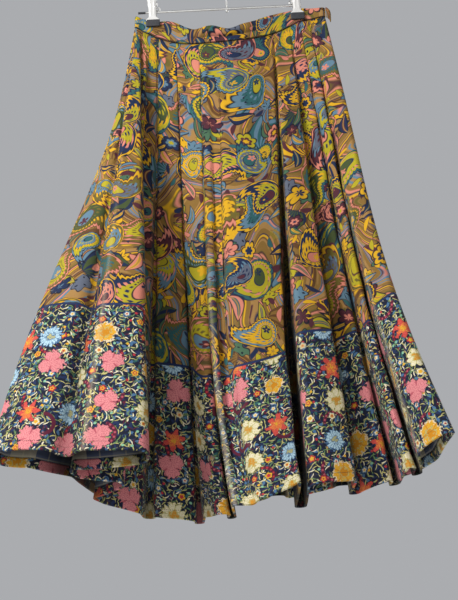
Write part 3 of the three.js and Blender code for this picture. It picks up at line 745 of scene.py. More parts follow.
# the swirling leaf print of the panels and the waistband: the cloth's places are bent, striped
# along one slow noise, and the motifs are laid over that
swirl = {
    "drift": 0.05, "driftScale": 9.0, "flowScale": 8.0, "flowDetail": 0.3, "bands": 6.5, "fields": 3.25,
    "grounds": ["ochre", "tan", "ochre", "olive", "ochre", "tan", "brown", "ochre", "mist", "tan"],
    "lines": ((0.2, 0.022, "navy"), (0.26, 0.03, "mustard"), (0.32, 0.02, "brown"), (0.64, 0.018, "plum"),
              (0.7, 0.03, "salmon")), "lineSoft": 0.02,
    "fine": 29.0, "fineLine": (0.5, 0.13, 0.08), "sparseScale": 23.0, "sparse": (0.52, 0.03),
    "fineTones": ["salmon", "olive", "mustard", "plum", "tan", "mist"],
}
swirlMotifs = (
    (addPatches, {
        "cell": 0.043, "spread": 0.85, "seed": 19, "reach": 0.0135, "share": 0.62, "ragged": 0.3,
        "colours": ["mustard", "mist", "lime", "sea", "mustard", "slate"], "edge": "ink"}),
    (addFans, {
        "cell": 0.061, "spread": 0.6, "seed": 13, "long": 0.030, "wide": 0.0125, "bend": 12.0, "sweep": 160.0,
        "tongues": 15.0, "share": 0.6, "colours": ["ochre", "moss", "mustard", "teal", "tan"],
        "lines": ["brown", "navy", "plum", "mist", "navy"]}),
    (addLeaves, {
        "cell": 0.0225, "spread": 0.75, "seed": 3, "long": 0.0095, "wide": 0.0036, "bend": 20.0,
        "colours": ["mustard", "navy", "teal", "salmon", "lime", "plum"], "share": 0.5, "outline": "brown"}),
    (addLeaves, {
        "cell": 0.037, "spread": 0.7, "seed": 8, "long": 0.018, "wide": 0.0062, "bend": 20.0,
        "colours": ["navy", "lime", "mist", "navy", "sea", "salmon"], "second": ["teal", "mustard", "plum"],
        "vein": "tan", "outline": "ink", "share": 0.7}),
    (addFlowers, {
        "cell": 0.058, "spread": 0.6, "seed": 5, "petals": 6, "cut": 0.4, "reach": 0.0145,
        "edge": "ink", "colours": ["mustard", "plum", "salmon", "navy", "lime"],
        "inner": ["navy", "salmon", "plum", "mist", "plum"], "heart": ["mustard", "navy", "lime"],
        "share": 0.62}),
    (addTeardrops, {
        "cell": 0.104, "spread": 0.42, "seed": 22, "reach": 0.044, "curl": 1.7, "scallops": 22, "tongues": 19,
        "outline": ["ink", "navy", "brown", "ink"], "edge": ["mustard", "teal", "salmon", "mustard"],
        "rim": ["navy", "lime", "olive", "mist"], "field": ["mustard", "teal", "lime", "moss"],
        "inner": ["salmon", "moss", "mist", "lime"], "petals": ["navy", "mustard", "plum", "salmon"]}),
    (addTeardrops, {
        "cell": 0.121, "spread": 0.5, "seed": 36, "reach": 0.037, "curl": -2.0, "scallops": 16, "tongues": 15,
        "outline": ["ink", "plum", "ink", "navy"], "edge": ["salmon", "mustard", "mist", "mustard"],
        "rim": ["plum", "olive", "lime", "navy"], "field": ["salmon", "mist", "slate", "lime"],
        "inner": ["navy", "lime", "teal", "plum"], "petals": ["mustard", "salmon", "mist", "navy"]}),
)


def swirlPrint(place):
    drift = vec("SUBTRACT", flatNoise(place, swirl["driftScale"], 1.0, 1), (0.5, 0.5, 0.5))
    drift = addNode("VectorMath", {0: drift, "Scale": swirl["drift"]}, operation="SCALE")
    bent = vec("ADD", place, drift)
    flow = flatNoise(bent, swirl["flowScale"], swirl["flowDetail"])
    bands, fields, fine = [calc("FRACT", times(flow, swirl[key])) for key in ("bands", "fields", "fine")]
    colour = pick(fields, swirl["grounds"])
    for middle, width, name in swirl["lines"]:
        colour = paint(near(bands, middle, width, swirl["lineSoft"]), colour, name)
    sparse = below(flatNoise(place, swirl["sparseScale"], 1.0), *swirl["sparse"])
    colour = paint(times(near(fine, *swirl["fineLine"]), sparse), colour, pick(fields, swirl["fineTones"]))
    for add, spot in swirlMotifs:
        colour = add(colour, bent, spot)
    return colour


# the border's print: sprigs first, then wreaths, small flowers and blooms over them, and a plain
# dark line along its upper seam
sprigs = (
    {"cell": 0.0070, "spread": 0.9, "seed": 2, "long": 0.0040, "wide": 0.0010, "bend": 90.0,
     "colours": ["leaf", "denim", "straw", "denim", "cream"], "share": 0.85},
    {"cell": 0.0086, "spread": 0.9, "seed": 6, "long": 0.0048, "wide": 0.0021, "bend": -60.0,
     "colours": ["sky", "denim", "teal", "denim", "sky", "denim"], "share": 0.8},
    {"cell": 0.0090, "spread": 0.9, "seed": 12, "long": 0.0062, "wide": 0.0008, "bend": 60.0,
     "colours": ["straw", "leaf", "straw", "cream"], "share": 0.9},
    {"cell": 0.0094, "spread": 0.9, "seed": 41, "long": 0.0056, "wide": 0.0007, "bend": -50.0,
     "colours": ["leaf", "straw", "maroon", "straw"], "share": 0.85},
    {"cell": 0.0142, "spread": 0.85, "seed": 17, "long": 0.0024, "wide": 0.0019,
     "colours": ["mint", "red", "gold", "mint", "maroon"], "share": 0.6},
)
smallFlowers = {
    "cell": 0.029, "spread": 0.6, "seed": 9, "petals": 5, "cut": 0.4, "reach": 0.0054, "soft": 0.1,
    "edge": "ink", "colours": ["sky", "gold", "red", "cream", "sky"],
    "inner": ["cream", "red", "gold", "gold", "cream"], "heart": ["gold", "red"], "share": 0.55}
seamLine = {"width": 0.0042, "soft": 0.0005}
# half rings of maroon with red beads
wreath = {"cell": 0.068, "spread": 0.55, "seed": 15, "radius": 0.0165, "width": 0.0026, "bead": 0.0014,
          "soft": 0.0005, "half": (1.4, 0.05), "beads": 15, "beadGap": (-0.2, 0.3)}
# the large flowers, of five kinds, each taken by its own part of the flowers; the petals have
# darker lines between them and a stipple over them
bloom = {"cell": 0.059, "spread": 0.42, "seed": 27, "reach": 0.0182, "sizes": (0.22, 0.86), "rough": 0.85,
         "roughScale": 210.0, "stippleScale": 620.0, "stipple": (0.46, 0.05), "stippled": 0.6, "soft": 0.03,
         "inside": 0.98, "heart": 0.6, "gap": (0.2, 0.1), "gapRing": (0.62, 0.34, 0.05),
         "kindSoft": 0.001}
bloomKinds = (
    {"from": 0.0, "to": 0.13, "petals": 6, "cut": 0.62, "round": 1.3, "rings": (
        (1.1, "ink"), (1.0, "coral"), (0.5, "flame"), (0.2, "gold")), "line": "red"},
    {"from": 0.13, "to": 0.27, "petals": 17, "cut": 0.2, "round": 0.8, "rings": (
        (1.06, "ink"), (0.98, "sky"), (0.86, "ice"), (0.36, "sky"), (0.26, "straw")), "line": "sky"},
    {"from": 0.27, "to": 0.41, "petals": 8, "cut": 0.24, "round": 0.6, "rings": (
        (1.08, "ink"), (1.0, "straw"), (0.9, "cream"), (0.42, "straw"), (0.3, "honey")), "line": "straw"},
    {"from": 0.41, "to": 0.64, "petals": 5, "cut": 0.2, "round": 0.5, "rings": (
        (1.08, "ink"), (1.0, "cream"), (0.86, "gold"), (0.5, "straw"), (0.34, "honey")), "line": "honey"},
    {"from": 0.64, "to": 1.0, "petals": 3, "cut": 0.5, "round": 0.45, "rings": (
        (1.06, "ink"), (1.0, "pink")), "line": "rose"},
)


def addWreaths(under, place):
    local, _, kind, _ = scatter(place, wreath)
    radius, angle = polar(local)
    ring = near(radius, wreath["radius"], wreath["width"], wreath["soft"])
    ring = times(ring, below(calc("ABSOLUTE", angle), *wreath["half"]))
    beads = times(ring, below(lobes(angle, wreath["beads"]), *wreath["beadGap"]),
                  near(radius, wreath["radius"], wreath["bead"], wreath["soft"]))
    return paint(beads, paint(ring, under, "maroon"), pick(kind, ["red", "rose", "red", "maroon"]))


def addBlooms(under, place):
    local, _, kind, size = scatter(place, bloom)
    radius, angle = polar(local)
    rough = scaled(flatNoise(place, bloom["roughScale"], 3.0), bloom["rough"], -0.5 * bloom["rough"])
    r = calc("ADD", calc("DIVIDE", radius, times(scaled(size, *bloom["sizes"]), bloom["reach"])), rough)
    stipple = below(flatNoise(place, bloom["stippleScale"], 1.0), *bloom["stipple"])
    colour = under
    for spot in bloomKinds:
        wave = calc("ABSOLUTE", lobes(angle, spot["petals"] / 2))
        shape = scaled(calc("POWER", wave, spot["round"]), spot["cut"], 1 - spot["cut"])
        q = calc("DIVIDE", r, shape)
        middle, half = (spot["from"] + spot["to"]) / 2, (spot["to"] - spot["from"]) / 2
        taken = near(kind, middle, half, bloom["kindSoft"])
        for edge, name in spot["rings"]:
            reached = q if edge > bloom["heart"] else r
            colour = paint(times(below(reached, edge, bloom["soft"]), taken), colour, name)
        inside = times(below(q, bloom["inside"], bloom["soft"]), taken)
        line = times(below(wave, *bloom["gap"]), near(r, *bloom["gapRing"]))
        line = calc("MAXIMUM", line, times(stipple, bloom["stippled"]))
        colour = paint(times(inside, line), colour, spot["line"])
    return colour


def flowerPrint(place):
    colour = tones["night"]
    for spot in sprigs:
        colour = addLeaves(colour, place, spot)
    colour = addFlowers(addWreaths(colour, place), place, smallFlowers)
    colour = addBlooms(colour, place)
    top = (skirt["borderHeight"] - skirt["length"]) * mm
    return paint(near(split(place)[1], top, seamLine["width"], seamLine["soft"]), colour, "denim")


check = {"block": 0.036, "line": 0.0009, "lineSoft": 0.01, "lineShare": 0.4,
         "warp": ["denim", "khaki", "slate"], "weft": ["denim", "slate", "khaki"]}


def checkPrint(place):
    x, y = split(place)
    warp, weft = [pick(calc("FRACT", calc("DIVIDE", value, 3 * check["block"])), check[way])
                  for value, way in ((x, "warp"), (y, "weft"))]
    colour = paint(0.5, warp, weft)
    for value in (x, y):
        cell = calc("FRACT", calc("DIVIDE", value, check["block"]))
        line = near(cell, 0.5, check["line"] / check["block"], check["lineSoft"])
        colour = paint(times(line, check["lineShare"]), colour, "khaki")
    return colour


# fine upright ribs and a soft nap, as height, and how the nap lightens and darkens the print
napSet = {"rib": 0.35, "fuzzScale": 900.0, "brushScale": 14.0, "brushed": (0.34, 0.83),
          "fuzzed": (0.24, 0.88), "bump": 0.35, "depth": 0.0006}
# how much darker the painted shade makes the cloth deep in the creases and in the seams
creaseShadeStrength = 0.88
# how far the pile is rubbed off along the ridges
rubbed = {"tone": "bare", "share": 0.72, "grain": (900, 130, 1), "contrast": 3.4}


def clothNap():
    tree, given, result = newGroup("clothNap", {"Place": "Vector", "Rib": "Float"},
                                   {"Height": "Float", "Shade": "Float"})
    ribs = calc("SINE", calc("DIVIDE", times(split(given[0])[0], 2 * math.pi), given[1]))
    fuzz = noise(given[0], napSet["fuzzScale"], 2.0)
    feed(result[0], scaled(ribs, napSet["rib"], fuzz))
    brushed = scaled(noise(given[0], napSet["brushScale"], 3.0), *napSet["brushed"])
    feed(result[1], times(brushed, scaled(fuzz, *napSet["fuzzed"])))
    return tree


def useGroup(group, tree, **inputs):
    node = tree.nodes.new("ShaderNodeGroup")
    node.node_tree = group
    for name, value in inputs.items():
        feed(node.inputs[name], value)
    return node.outputs


def newMaterial(name, **constants):
    material = bpy.data.materials.new(name)
    material.use_nodes = True
    shader = material.node_tree.nodes["Principled BSDF"]
    for label, value in constants.items():
        shader.inputs[label.replace("_", " ")].default_value = value
    return material, material.node_tree, shader.inputs


def bump(height, strength, distance):
    return addNode("Bump", {"Height": height, "Strength": strength, "Distance": distance})


# a printed cloth: the print, its nap, how pale the side shown is, and painted shade in its creases and seams
printed = {"Roughness": 0.82, "Specular_IOR_Level": 0.2}
ribs = {"velvet": 0.0013, "facing": 0.0009}


def printedCloth(name, group, rib=ribs["velvet"], pale=0.0, **constants):
    material, tree, shader = newMaterial(name, **printed, **constants)
    place = addNode("UVMap", tree=tree, uv_map="print")
    colour = useGroup(group, tree, Place=place)[0]
    pile = useGroup(nap, tree, Place=place, Rib=rib)
    if pale:
        colour = paint(pale, colour, "khaki")
    # painted shade: the colour is darker where the cloth lies in a crease or a seam
    paintedShade, worn = [addNode("Attribute", (), 2, tree, attribute_name=label) for label in ("paintedShade", "worn")]
    shade = times(pile["Shade"], scaled(paintedShade, -creaseShadeStrength, 1.0))
    streaks = addNode("TexNoise", {"Vector": vec("MULTIPLY", place, rubbed["grain"]), "Detail": 3.0})
    streaks = scaled(streaks, rubbed["contrast"], 0.5 - 0.5 * rubbed["contrast"], clamp=True)
    colour = paint(times(worn, times(streaks, rubbed["share"])), colour, rubbed["tone"])
    grey = addNode("CombineColor", {0: shade, 1: shade, 2: shade})
    mixed = addNode("Mix", {0: 1.0, 6: colour, 7: grey}, 2, data_type="RGBA", blend_type="MULTIPLY")
    feed(shader["Base Color"], mixed)
    feed(shader["Normal"], bump(pile["Height"], napSet["bump"], napSet["depth"]))
    return material


nap = clothNap()
swirls, flowers, checks = [printGroup(draw) for draw in (swirlPrint, flowerPrint, checkPrint)]
velvet = {"Sheen_Weight": 0.1, "Sheen_Roughness": 0.4, "Sheen_Tint": (0.9, 0.86, 0.8, 1)}
panelCloth = printedCloth("panelCloth", swirls, **velvet)
panelInside = printedCloth("panelInside", swirls, pale=0.55)
borderCloth = printedCloth("borderCloth", flowers, **velvet)
facingCloth = printedCloth("facingCloth", checks, rib=ribs["facing"])
print("cloth materials made")


# steel, pearly plastic, rubber and thread: a cloud between two tones, and how much of it roughens
def cloudy(name, tints, rough, swing, scale, detail, dent, **constants):
    material, tree, shader = newMaterial(name, **constants)
    cloud = noise(addNode("TexCoord", tree=tree).node.outputs["Object"], scale, detail)
    feed(shader["Base Color"], paint(cloud, *tints))
    feed(shader["Roughness"], scaled(cloud, swing, rough))
    feed(shader["Normal"], bump(cloud, *dent))
    return material


bright = (0.82, 0.81, 0.78)
steelTints = [(*[c * k for c in bright], 1) for k in (0.86, 1.08)]
steel = cloudy("steel", steelTints, 0.24, 0.25, 60.0, 4.0, (0.08, 0.0004), Metallic=1.0)
pearl = cloudy("pearlClip", (tone(196, 194, 190), tone(238, 236, 232)), 0.15, 0.2, 38.0, 3.0, (0.2, 0.0002),
               Coat_Weight=0.5)
rubber = cloudy("rubberGrip", (tone(34, 36, 40), tone(66, 66, 70)), 0.5, 0.2, 220.0, 3.0, (0.2, 0.0003))
thread = cloudy("thread", (tone(46, 44, 56), tone(104, 86, 62)), 0.7, 0.2, 300.0, 3.0, (0.2, 0.0002))

# the cloth pieces; a piece stands a little proud of its solid or lies just inside it
shares = {
    "borderTop": 1 - skirt["borderHeight"] / skirt["length"],
    "turnTop": 1 - skirt["hemTurn"] / skirt["length"],
    "gap": skirt["seamGap"] / skirt["length"],
}
rows = {"panel": 72, "border": 40, "facing": 30, "turn": 6}
wall = 0.5 * skirt["wall"] * mm
liningOuter = -wall - skirt["seamGap"] * mm
liningInner = liningOuter - skirt["facing"] * mm
# seams pull the outer face in a little, over so many gaps beside them
seamTuck = {"panel": 0.7 * mm, "border": 0.5 * mm, "reach": 5}
# a few more rows beside the seams and the hem, so many gaps from them
besides = {"waist": (4, 8), "border": (3, 8), "hem": 2}


def clothPieces(name):
    gap, top, turn = shares["gap"], shares["borderTop"], shares["turnTop"]
    drawnIn = lambda down, seam: np.exp(-((down - seam) / (seamTuck["reach"] * gap)) ** 2)[:, None]
    nearSeam = gap * np.array(besides["border"])
    upper = np.linspace(2 * gap, top - gap / 2, rows["panel"])
    upper = np.sort(np.concatenate([upper, gap * np.array(besides["waist"]), top - nearSeam]))
    lower = np.linspace(top + gap / 2, 1, rows["border"])
    lower = np.sort(np.concatenate([lower, top + nearSeam, [1 - besides["hem"] * gap]]))
    upperFace = wall - seamTuck["panel"] * (drawnIn(upper, top) + drawnIn(upper, 0))
    lowerFace = wall - seamTuck["border"] * drawnIn(lower, top)
    facingRows = np.linspace(top + gap / 2, turn - gap, rows["facing"])
    turnRows = np.linspace(turn, 1, rows["turn"])
    return {kind: wallMesh(f"{kind}_{name}", surface(name, down), outer, inner, materials)
            for kind, down, outer, inner, materials in (
                ("skirt", upper, upperFace, -wall, [panelCloth, panelInside]),
                ("border", lower, lowerFace, -wall, [borderCloth]),
                ("facing", facingRows, liningOuter, liningInner, [facingCloth]),
                ("hem_turn", turnRows, liningOuter, liningInner, [borderCloth]))}


clothOf = {name: clothPieces(name) for name in halves}
print("cloth hung", {o.name: len(o.data.polygons) for made in clothOf.values() for o in made.values()})

# the waistband, double and a little stiff: its height at places across it, what bends it out of its
# plane, the painted shade under that bend and along its foot, and the strip it is cut from
band = {
    "seedStep": 5,
    "heights": [(-153, 22), (-120, 30), (-90, 36), (-57, 28), (-20, 33), (8, 25), (34, 32), (70, 35),
                (130, 27), (177, 18)],
    "wall": 2.4, "levels": 21, "columns": 260, "edgeRound": 0.75, "topEdge": 0.07, "footEdge": 0.05,
    "printFrom": 900, "printBack": 1500, "cut": 31, "cutShare": 0.95,
    "bends": ({"at": 0.47, "push": -3.6, "over": 0.13}, {"at": 0.78, "push": 1.5, "over": 0.2}),
    "bowed": (0.3, 0.9), "wave": 1.7, "waveCell": (24, 16), "bendShade": 0.8, "bendShadeOver": 0.07,
    "footShade": (0.03, 0.09),
}


# a smooth curve through the heights
def bandHeight(x):
    places, heights = [np.array(column, float) for column in zip(*band["heights"])]
    k = np.clip(np.searchsorted(places, x), 1, len(places) - 1)
    t = (x - places[k - 1]) / (places[k] - places[k - 1])
    p0, p3 = heights[np.maximum(k - 2, 0)], heights[np.minimum(k + 1, len(heights) - 1)]
    p1, p2 = heights[k - 1], heights[k]
    v0, v1 = (p2 - p0) / 2, (p3 - p1) / 2
    return (2 * p1 - 2 * p2 + v0 + v1) * t ** 3 + (-3 * p1 + 3 * p2 - 2 * v0 - v1) * t ** 2 + v0 * t + p1


def bandGrid(name):
    path, along = seamPath(halves[name])
    run = np.linspace(0, along[-1], band["columns"])
    foot = np.stack([np.interp(run, along, path[:, i]) for i in range(3)], 1)
    flat = unit(np.gradient(foot[:, :2], axis=0))
    out = np.column_stack([flat[:, 1], -flat[:, 0], np.zeros(len(flat))])
    level = np.linspace(1, 0, band["levels"])[:, None]
    bowed = smoothstep((np.abs(foot[:, 1]) - waist["gripDepth"]) / halves[name]["belly"], *band["bowed"])
    lift = level * bandHeight(foot[:, 0])
    push = sum(bend["push"] * np.exp(-((level - bend["at"]) / bend["over"]) ** 2) * bowed
               for bend in band["bends"])
    ripple = relief(run + 0 * level, lift, band["waveCell"], halves[name]["seed"] + band["seedStep"])
    push = push + band["wave"] * ripple * bowed * level
    points = foot[None, :, :] + np.array([0, 0, 1.0]) * lift[..., None] + out[None] * push[..., None]
    across = run + 0 * level + band["printFrom"] + band["printBack"] * (name == "back")
    # painted shade under the band's inward bend and along its foot over the seam
    paintedShade = band["bendShade"] * np.exp(-((level - band["bends"][0]["at"]) / band["bendShadeOver"]) ** 2) * bowed
    paintedShade = np.maximum(paintedShade, creaseShadeSet["seam"] * (1 - smoothstep(level, *band["footShade"])))
    return {"points": points * mm, "out": np.broadcast_to(out[None], points.shape),
            "places": np.stack([across, lift], 2) * mm, "paintedShade": paintedShade, "level": level}


def waistband(name):
    grid = bandGrid(name)
    top, foot = band["topEdge"], band["footEdge"]
    toEdge = np.maximum((grid["level"] - (1 - top)) / top, (foot - grid["level"]) / foot)
    half = 0.5 * band["wall"] * mm * (1 - band["edgeRound"] * np.clip(toEdge, 0, 1) ** 2)
    return wallMesh("waistband_" + name, grid, half, -half, [panelCloth])


bandOf = {name: waistband(name) for name in halves}

# the end of the band that laps past the side, a curved tongue with rounded corners
tongue = {"length": 9, "height": 20, "wall": 2.2, "drop": 7, "top": -108, "clear": 1.5, "forward": 3,
          "rows": 17, "columns": 22, "corner": 0.16, "cornerFrom": 0.8, "endFrom": 0.85, "thin": 0.7,
          "thinPower": 8, "printAt": (0.41, -0.02)}


def makeTongue():
    t = np.linspace(0, 1, tongue["columns"])[None, :]
    v = np.linspace(0, 1, tongue["rows"])[:, None]
    pastFrom = lambda start: np.clip((t - start) / (1 - start), 0, 1)
    bend = t * np.pi / 2 + 0 * v
    pinch = tongue["corner"] * pastFrom(tongue["cornerFrom"]) ** 2
    height = tongue["height"] * (pinch + v * (1 - 2 * pinch))
    x = waist["right"] + tongue["clear"] + tongue["length"] * np.sin(bend)
    y = -tongue["forward"] + tongue["length"] * (1 - np.cos(bend))
    z = tongue["top"] - height - tongue["drop"] * t
    places = np.stack([tongue["length"] * bend, -height], 2) * mm + tongue["printAt"]
    edge = np.maximum(np.abs(2 * v - 1), pastFrom(tongue["endFrom"])) ** tongue["thinPower"]
    half = 0.5 * tongue["wall"] * mm * (1 - tongue["thin"] * edge)
    grid = {"points": np.stack([x, y, z], 2) * mm, "places": places,
            "out": np.stack([np.sin(bend), -np.cos(bend), 0 * bend], 2)}
    return wallMesh("waistband_tongue", grid, half, -half, [panelCloth])


tongueMade = makeTongue()
print("waistband made")

# the hanger: wire hook, bar and two spring clips, in its own upright frame, then tilted
hanger = {
    "roundness": 5, "smoothing": 10,
    "tilt": math.radians(3.3), "hookRadius": 18, "wire": 3.4, "barDrop": 110, "bar": 4, "barLeft": -142,
    "barRight": 130, "tip": 13, "gap": 0.3, "clips": {"left": -130, "right": 122}, "neckBelow": 42,
    "neckLeans": [(0.28, 11), (0.8, 24)], "arc": (-0.15, 1.12), "arcSteps": 9, "barSteps": 9, "sharp": 50,
}
rivetBall = {"radius": 2.4, "around": 24, "down": 15}
# a clip's leaf: up from the bar, out to its inner face and half its width; then its wall, how it is
# smoothed, how its jaw's corners curl back and the two ribs that run up it
clipLeaf = {"rows": [(25, 10, 9.2), (20, 8.6, 8.8), (13, 6.6, 7), (3, 5.2, 6.8), (-12, 4.5, 6.8),
                     (-15, 4.8, 9.5), (-18, 5.2, 12.2)],
            "wall": 1.6, "fine": 60, "across": 25, "ease": 5, "thin": 0.6, "curl": 1.1,
            "curlOver": (-16, -10), "rib": 0.5, "ribAt": 0.45, "ribWidth": 0.13, "ribFoot": (-11, -6),
            "ribTop": (15, 21)}
# powers that keep a shape even until close to its edge
square = {"curl": 4, "ribEnd": 6, "corner": 8, "edge": 10}
clipPad = {"width": 24.4, "depth": 4.6, "height": 12.6, "rib": 0.22, "pitch": 1.8, "fine": (34, 29),
           "corner": 0.05, "thin": 0.32}
barrel = {"inner": 2.3, "outer": 4.1, "length": 12, "edge": 0.5, "sides": 40}
springLoop = {"radius": 3, "wire": 1.5, "across": 10, "turns": 2, "pitch": 1.5, "leg": 4, "fine": 28}


def tilted(points):
    x, y, z = np.moveaxis(np.asarray(points, float), -1, 0)
    c, t = math.cos(hanger["tilt"]), math.sin(hanger["tilt"])
    return np.stack([x * c - z * t, y, x * t + z * c], -1)


# a smooth line through points that are unevenly spaced
def smoothLine(points, steps):
    p = np.array(points, float)
    p = np.vstack([2 * p[0] - p[1], p, 2 * p[-1] - p[-2]])
    made = []
    for k in range(1, len(p) - 2):
        four = p[k - 1:k + 3]
        knots = np.concatenate([[0], np.cumsum(np.linalg.norm(np.diff(four, axis=0), axis=1) ** 0.5)])
        t = np.linspace(knots[1], knots[2], steps, endpoint=False)[:, None]
        level = list(four)
        for spans in (((0, 1), (1, 2), (2, 3)), ((0, 2), (1, 3)), ((1, 2),)):
            level = [(level[j] * (knots[b] - t) + level[j + 1] * (t - knots[a])) / (knots[b] - knots[a])
                     for j, (a, b) in enumerate(spans)]
        made.append(level[0])
    return np.vstack(made + [p[-2][None]])


# a smooth piece with an edge only where its faces turn sharply; the vertices are in millimetres
def roundPiece(name, material, mesh=None, vertices=None, faces=None):
    if mesh is None:
        mesh = bpy.data.meshes.new(name)
        mesh.from_pydata((tilted(vertices) * mm).tolist(), [], faces)
    mesh.name = name
    mesh.polygons.foreach_set("use_smooth", np.ones(len(mesh.polygons), bool))
    mesh.set_sharp_from_angle(angle=math.radians(hanger["sharp"]))
    mesh.update()
    return newObject(name, mesh, [material])


# a round wire along a line of points in millimetres
def wire(name, points, radius, material):
    curve = bpy.data.curves.new(name + "Line", "CURVE")
    curve.dimensions = "3D"
    curve.bevel_depth = radius * mm
    curve.bevel_resolution = hanger["roundness"]
    curve.use_fill_caps = True
    spline = curve.splines.new("POLY")
    spline.points.add(len(points) - 1)
    for k, point in enumerate(tilted(points) * mm):
        spline.points[k].co = (*point, 1)
    temporary = bpy.data.objects.new(name + "Line", curve)
    bpy.context.scene.collection.objects.link(temporary)
    seen = temporary.evaluated_get(bpy.context.evaluated_depsgraph_get())
    mesh = bpy.data.meshes.new_from_object(seen)
    bpy.data.objects.remove(temporary)
    mesh.materials.clear()
    return roundPiece(name, material, mesh)


# a clip's barrel: a closed section of radius and place turned round the bar's line
def barrelMesh(name, place):
    edge, half = barrel["edge"], barrel["length"] / 2
    inner, outer, sides = barrel["inner"], barrel["outer"], barrel["sides"]
    section = np.array([(inner, -half), (outer - edge, -half), (outer, edge - half), (outer, half - edge),
                        (outer - edge, half), (inner, half)])
    angle = np.linspace(0, 2 * np.pi, sides, endpoint=False)[:, None]
    ring = np.stack([place + section[:, 1] + 0 * angle, section[:, 0] * np.cos(angle),
                     section[:, 0] * np.sin(angle) - hanger["barDrop"]], 2)
    cell = np.arange(sides * len(section)).reshape(sides, -1)
    after, above = np.roll(cell, -1, 0), np.roll(cell, -1, 1)
    faces = np.stack([cell, after, np.roll(after, -1, 1), above], 2).reshape(-1, 4)
    return roundPiece(name, pearl, vertices=ring.reshape(-1, 3), faces=faces.tolist())


# the small ball under the foot of the stem
def rivetMesh(name, height):
    across = np.linspace(0, 2 * np.pi, rivetBall["around"], endpoint=False)
    down = np.linspace(0, np.pi, rivetBall["down"])[1:-1, None]
    wide = np.sin(down)
    ring = np.stack([wide * np.cos(across), wide * np.sin(across), np.cos(down) + 0 * across], 2)
    ball = np.vstack([ring.reshape(-1, 3), [[0, 0, 1], [0, 0, -1]]]) * rivetBall["radius"] + [0, 0, height]
    cell = np.arange(ring.shape[0] * ring.shape[1]).reshape(ring.shape[:2])
    after = np.roll(cell, -1, 1)
    faces = np.stack([cell[:-1], cell[1:], after[1:], after[:-1]], 2).reshape(-1, 4).tolist()
    top, foot = cell.size, cell.size + 1
    faces += [[top, a, b] for a, b in zip(cell[0].tolist(), after[0].tolist())]
    faces += [[foot, b, a] for a, b in zip(cell[-1].tolist(), after[-1].tolist())]
    return roundPiece(name, steel, vertices=ball, faces=faces)


def hookLine():
    radius = hanger["hookRadius"] + hanger["wire"] / 2
    foot = -hanger["barDrop"] + hanger["bar"] / 2 + hanger["gap"]
    neck = -hanger["hookRadius"] - hanger["neckBelow"]
    points = [(0, 0, foot), (0, 0, (foot + neck) / 2), (0, 0, neck)]
    points += [(radius * out, 0, neck + up) for out, up in hanger["neckLeans"]]
    start, end = hanger["arc"]
    for j in range(hanger["arcSteps"] + 1):
        angle = math.pi * (start + (end - start) * j / hanger["arcSteps"])
        points.append((radius * math.cos(angle), 0, radius * math.sin(angle) - hanger["hookRadius"]))
    return smoothLine(points, hanger["smoothing"])


# a thin wall of the hanger from its middle surface
def slab(name, x, y, z, facing, outer, inner, material):
    points = tilted(np.stack(np.broadcast_arrays(x, y, z), 2)) * mm
    out = np.broadcast_to(np.array([0.0, facing, 0.0]), points.shape)
    grid = {"points": points, "out": out, "places": points[..., [0, 2]]}
    return wallMesh(name, grid, outer, inner, [material])


def clipLeafMesh(name, place, facing):
    up, out, half = [np.array(column, float) for column in zip(*clipLeaf["rows"])]
    level = np.linspace(up[0], up[-1], clipLeaf["fine"])
    over = clipLeaf["ease"]
    ease = lambda values: np.convolve(np.pad(np.interp(-level, -up, values), over // 2, mode="edge"),
                                      np.ones(over) / over, "valid")
    out, half = ease(out), ease(half)
    share = np.linspace(-1, 1, clipLeaf["across"])[None, :]
    x = place - facing * share * half[:, None]
    curl = clipLeaf["curl"] * share ** square["curl"] * smoothstep(level, *clipLeaf["curlOver"])[:, None]
    y = facing * (out[:, None] + clipLeaf["wall"] / 2 - curl)
    z = level[:, None] - hanger["barDrop"] + 0 * share
    rib = clipLeaf["rib"] * np.exp(-((np.abs(share) - clipLeaf["ribAt"]) / clipLeaf["ribWidth"]) ** 2)
    ribbed = smoothstep(level, *clipLeaf["ribFoot"]) * (1 - smoothstep(level, *clipLeaf["ribTop"]))
    rib = rib * ribbed[:, None]
    thin = 1 - clipLeaf["thin"] * np.abs(share) ** square["edge"]
    outer = (clipLeaf["wall"] / 2 * thin + rib) * mm
    return slab(name, x, y, z, facing, outer, -clipLeaf["wall"] / 2 * thin * mm, pearl)


def clipPadMesh(name, place, facing):
    count, columns = clipPad["fine"]
    v = np.linspace(1, -1, count)[:, None]
    share = np.linspace(-1, 1, columns)[None, :]
    halfDepth, halfHeight = clipPad["depth"] / 2, clipPad["height"] / 2
    middle = waist["gripDepth"] + band["wall"] / 2 + hanger["gap"] + halfDepth
    top = clipLeaf["rows"][-1][0] - hanger["gap"]
    x = place - facing * share * clipPad["width"] / 2 * (1 - clipPad["corner"] * v ** square["corner"])
    cornered = 1 - clipPad["corner"] * share ** square["corner"]
    z = top - halfHeight + v * halfHeight * cornered - hanger["barDrop"]
    thin = 1 - clipPad["thin"] * np.maximum(np.abs(share), np.abs(v)) ** square["edge"]
    raised = clipPad["rib"] * np.cos(2 * np.pi * v * halfHeight / clipPad["pitch"])
    raised = raised * (1 - v ** square["ribEnd"])
    outer = (halfDepth * thin + raised * (1 - share ** square["corner"])) * mm
    return slab(name, x, facing * middle + 0 * x, z, facing, outer, -halfDepth * thin * mm, rubber)


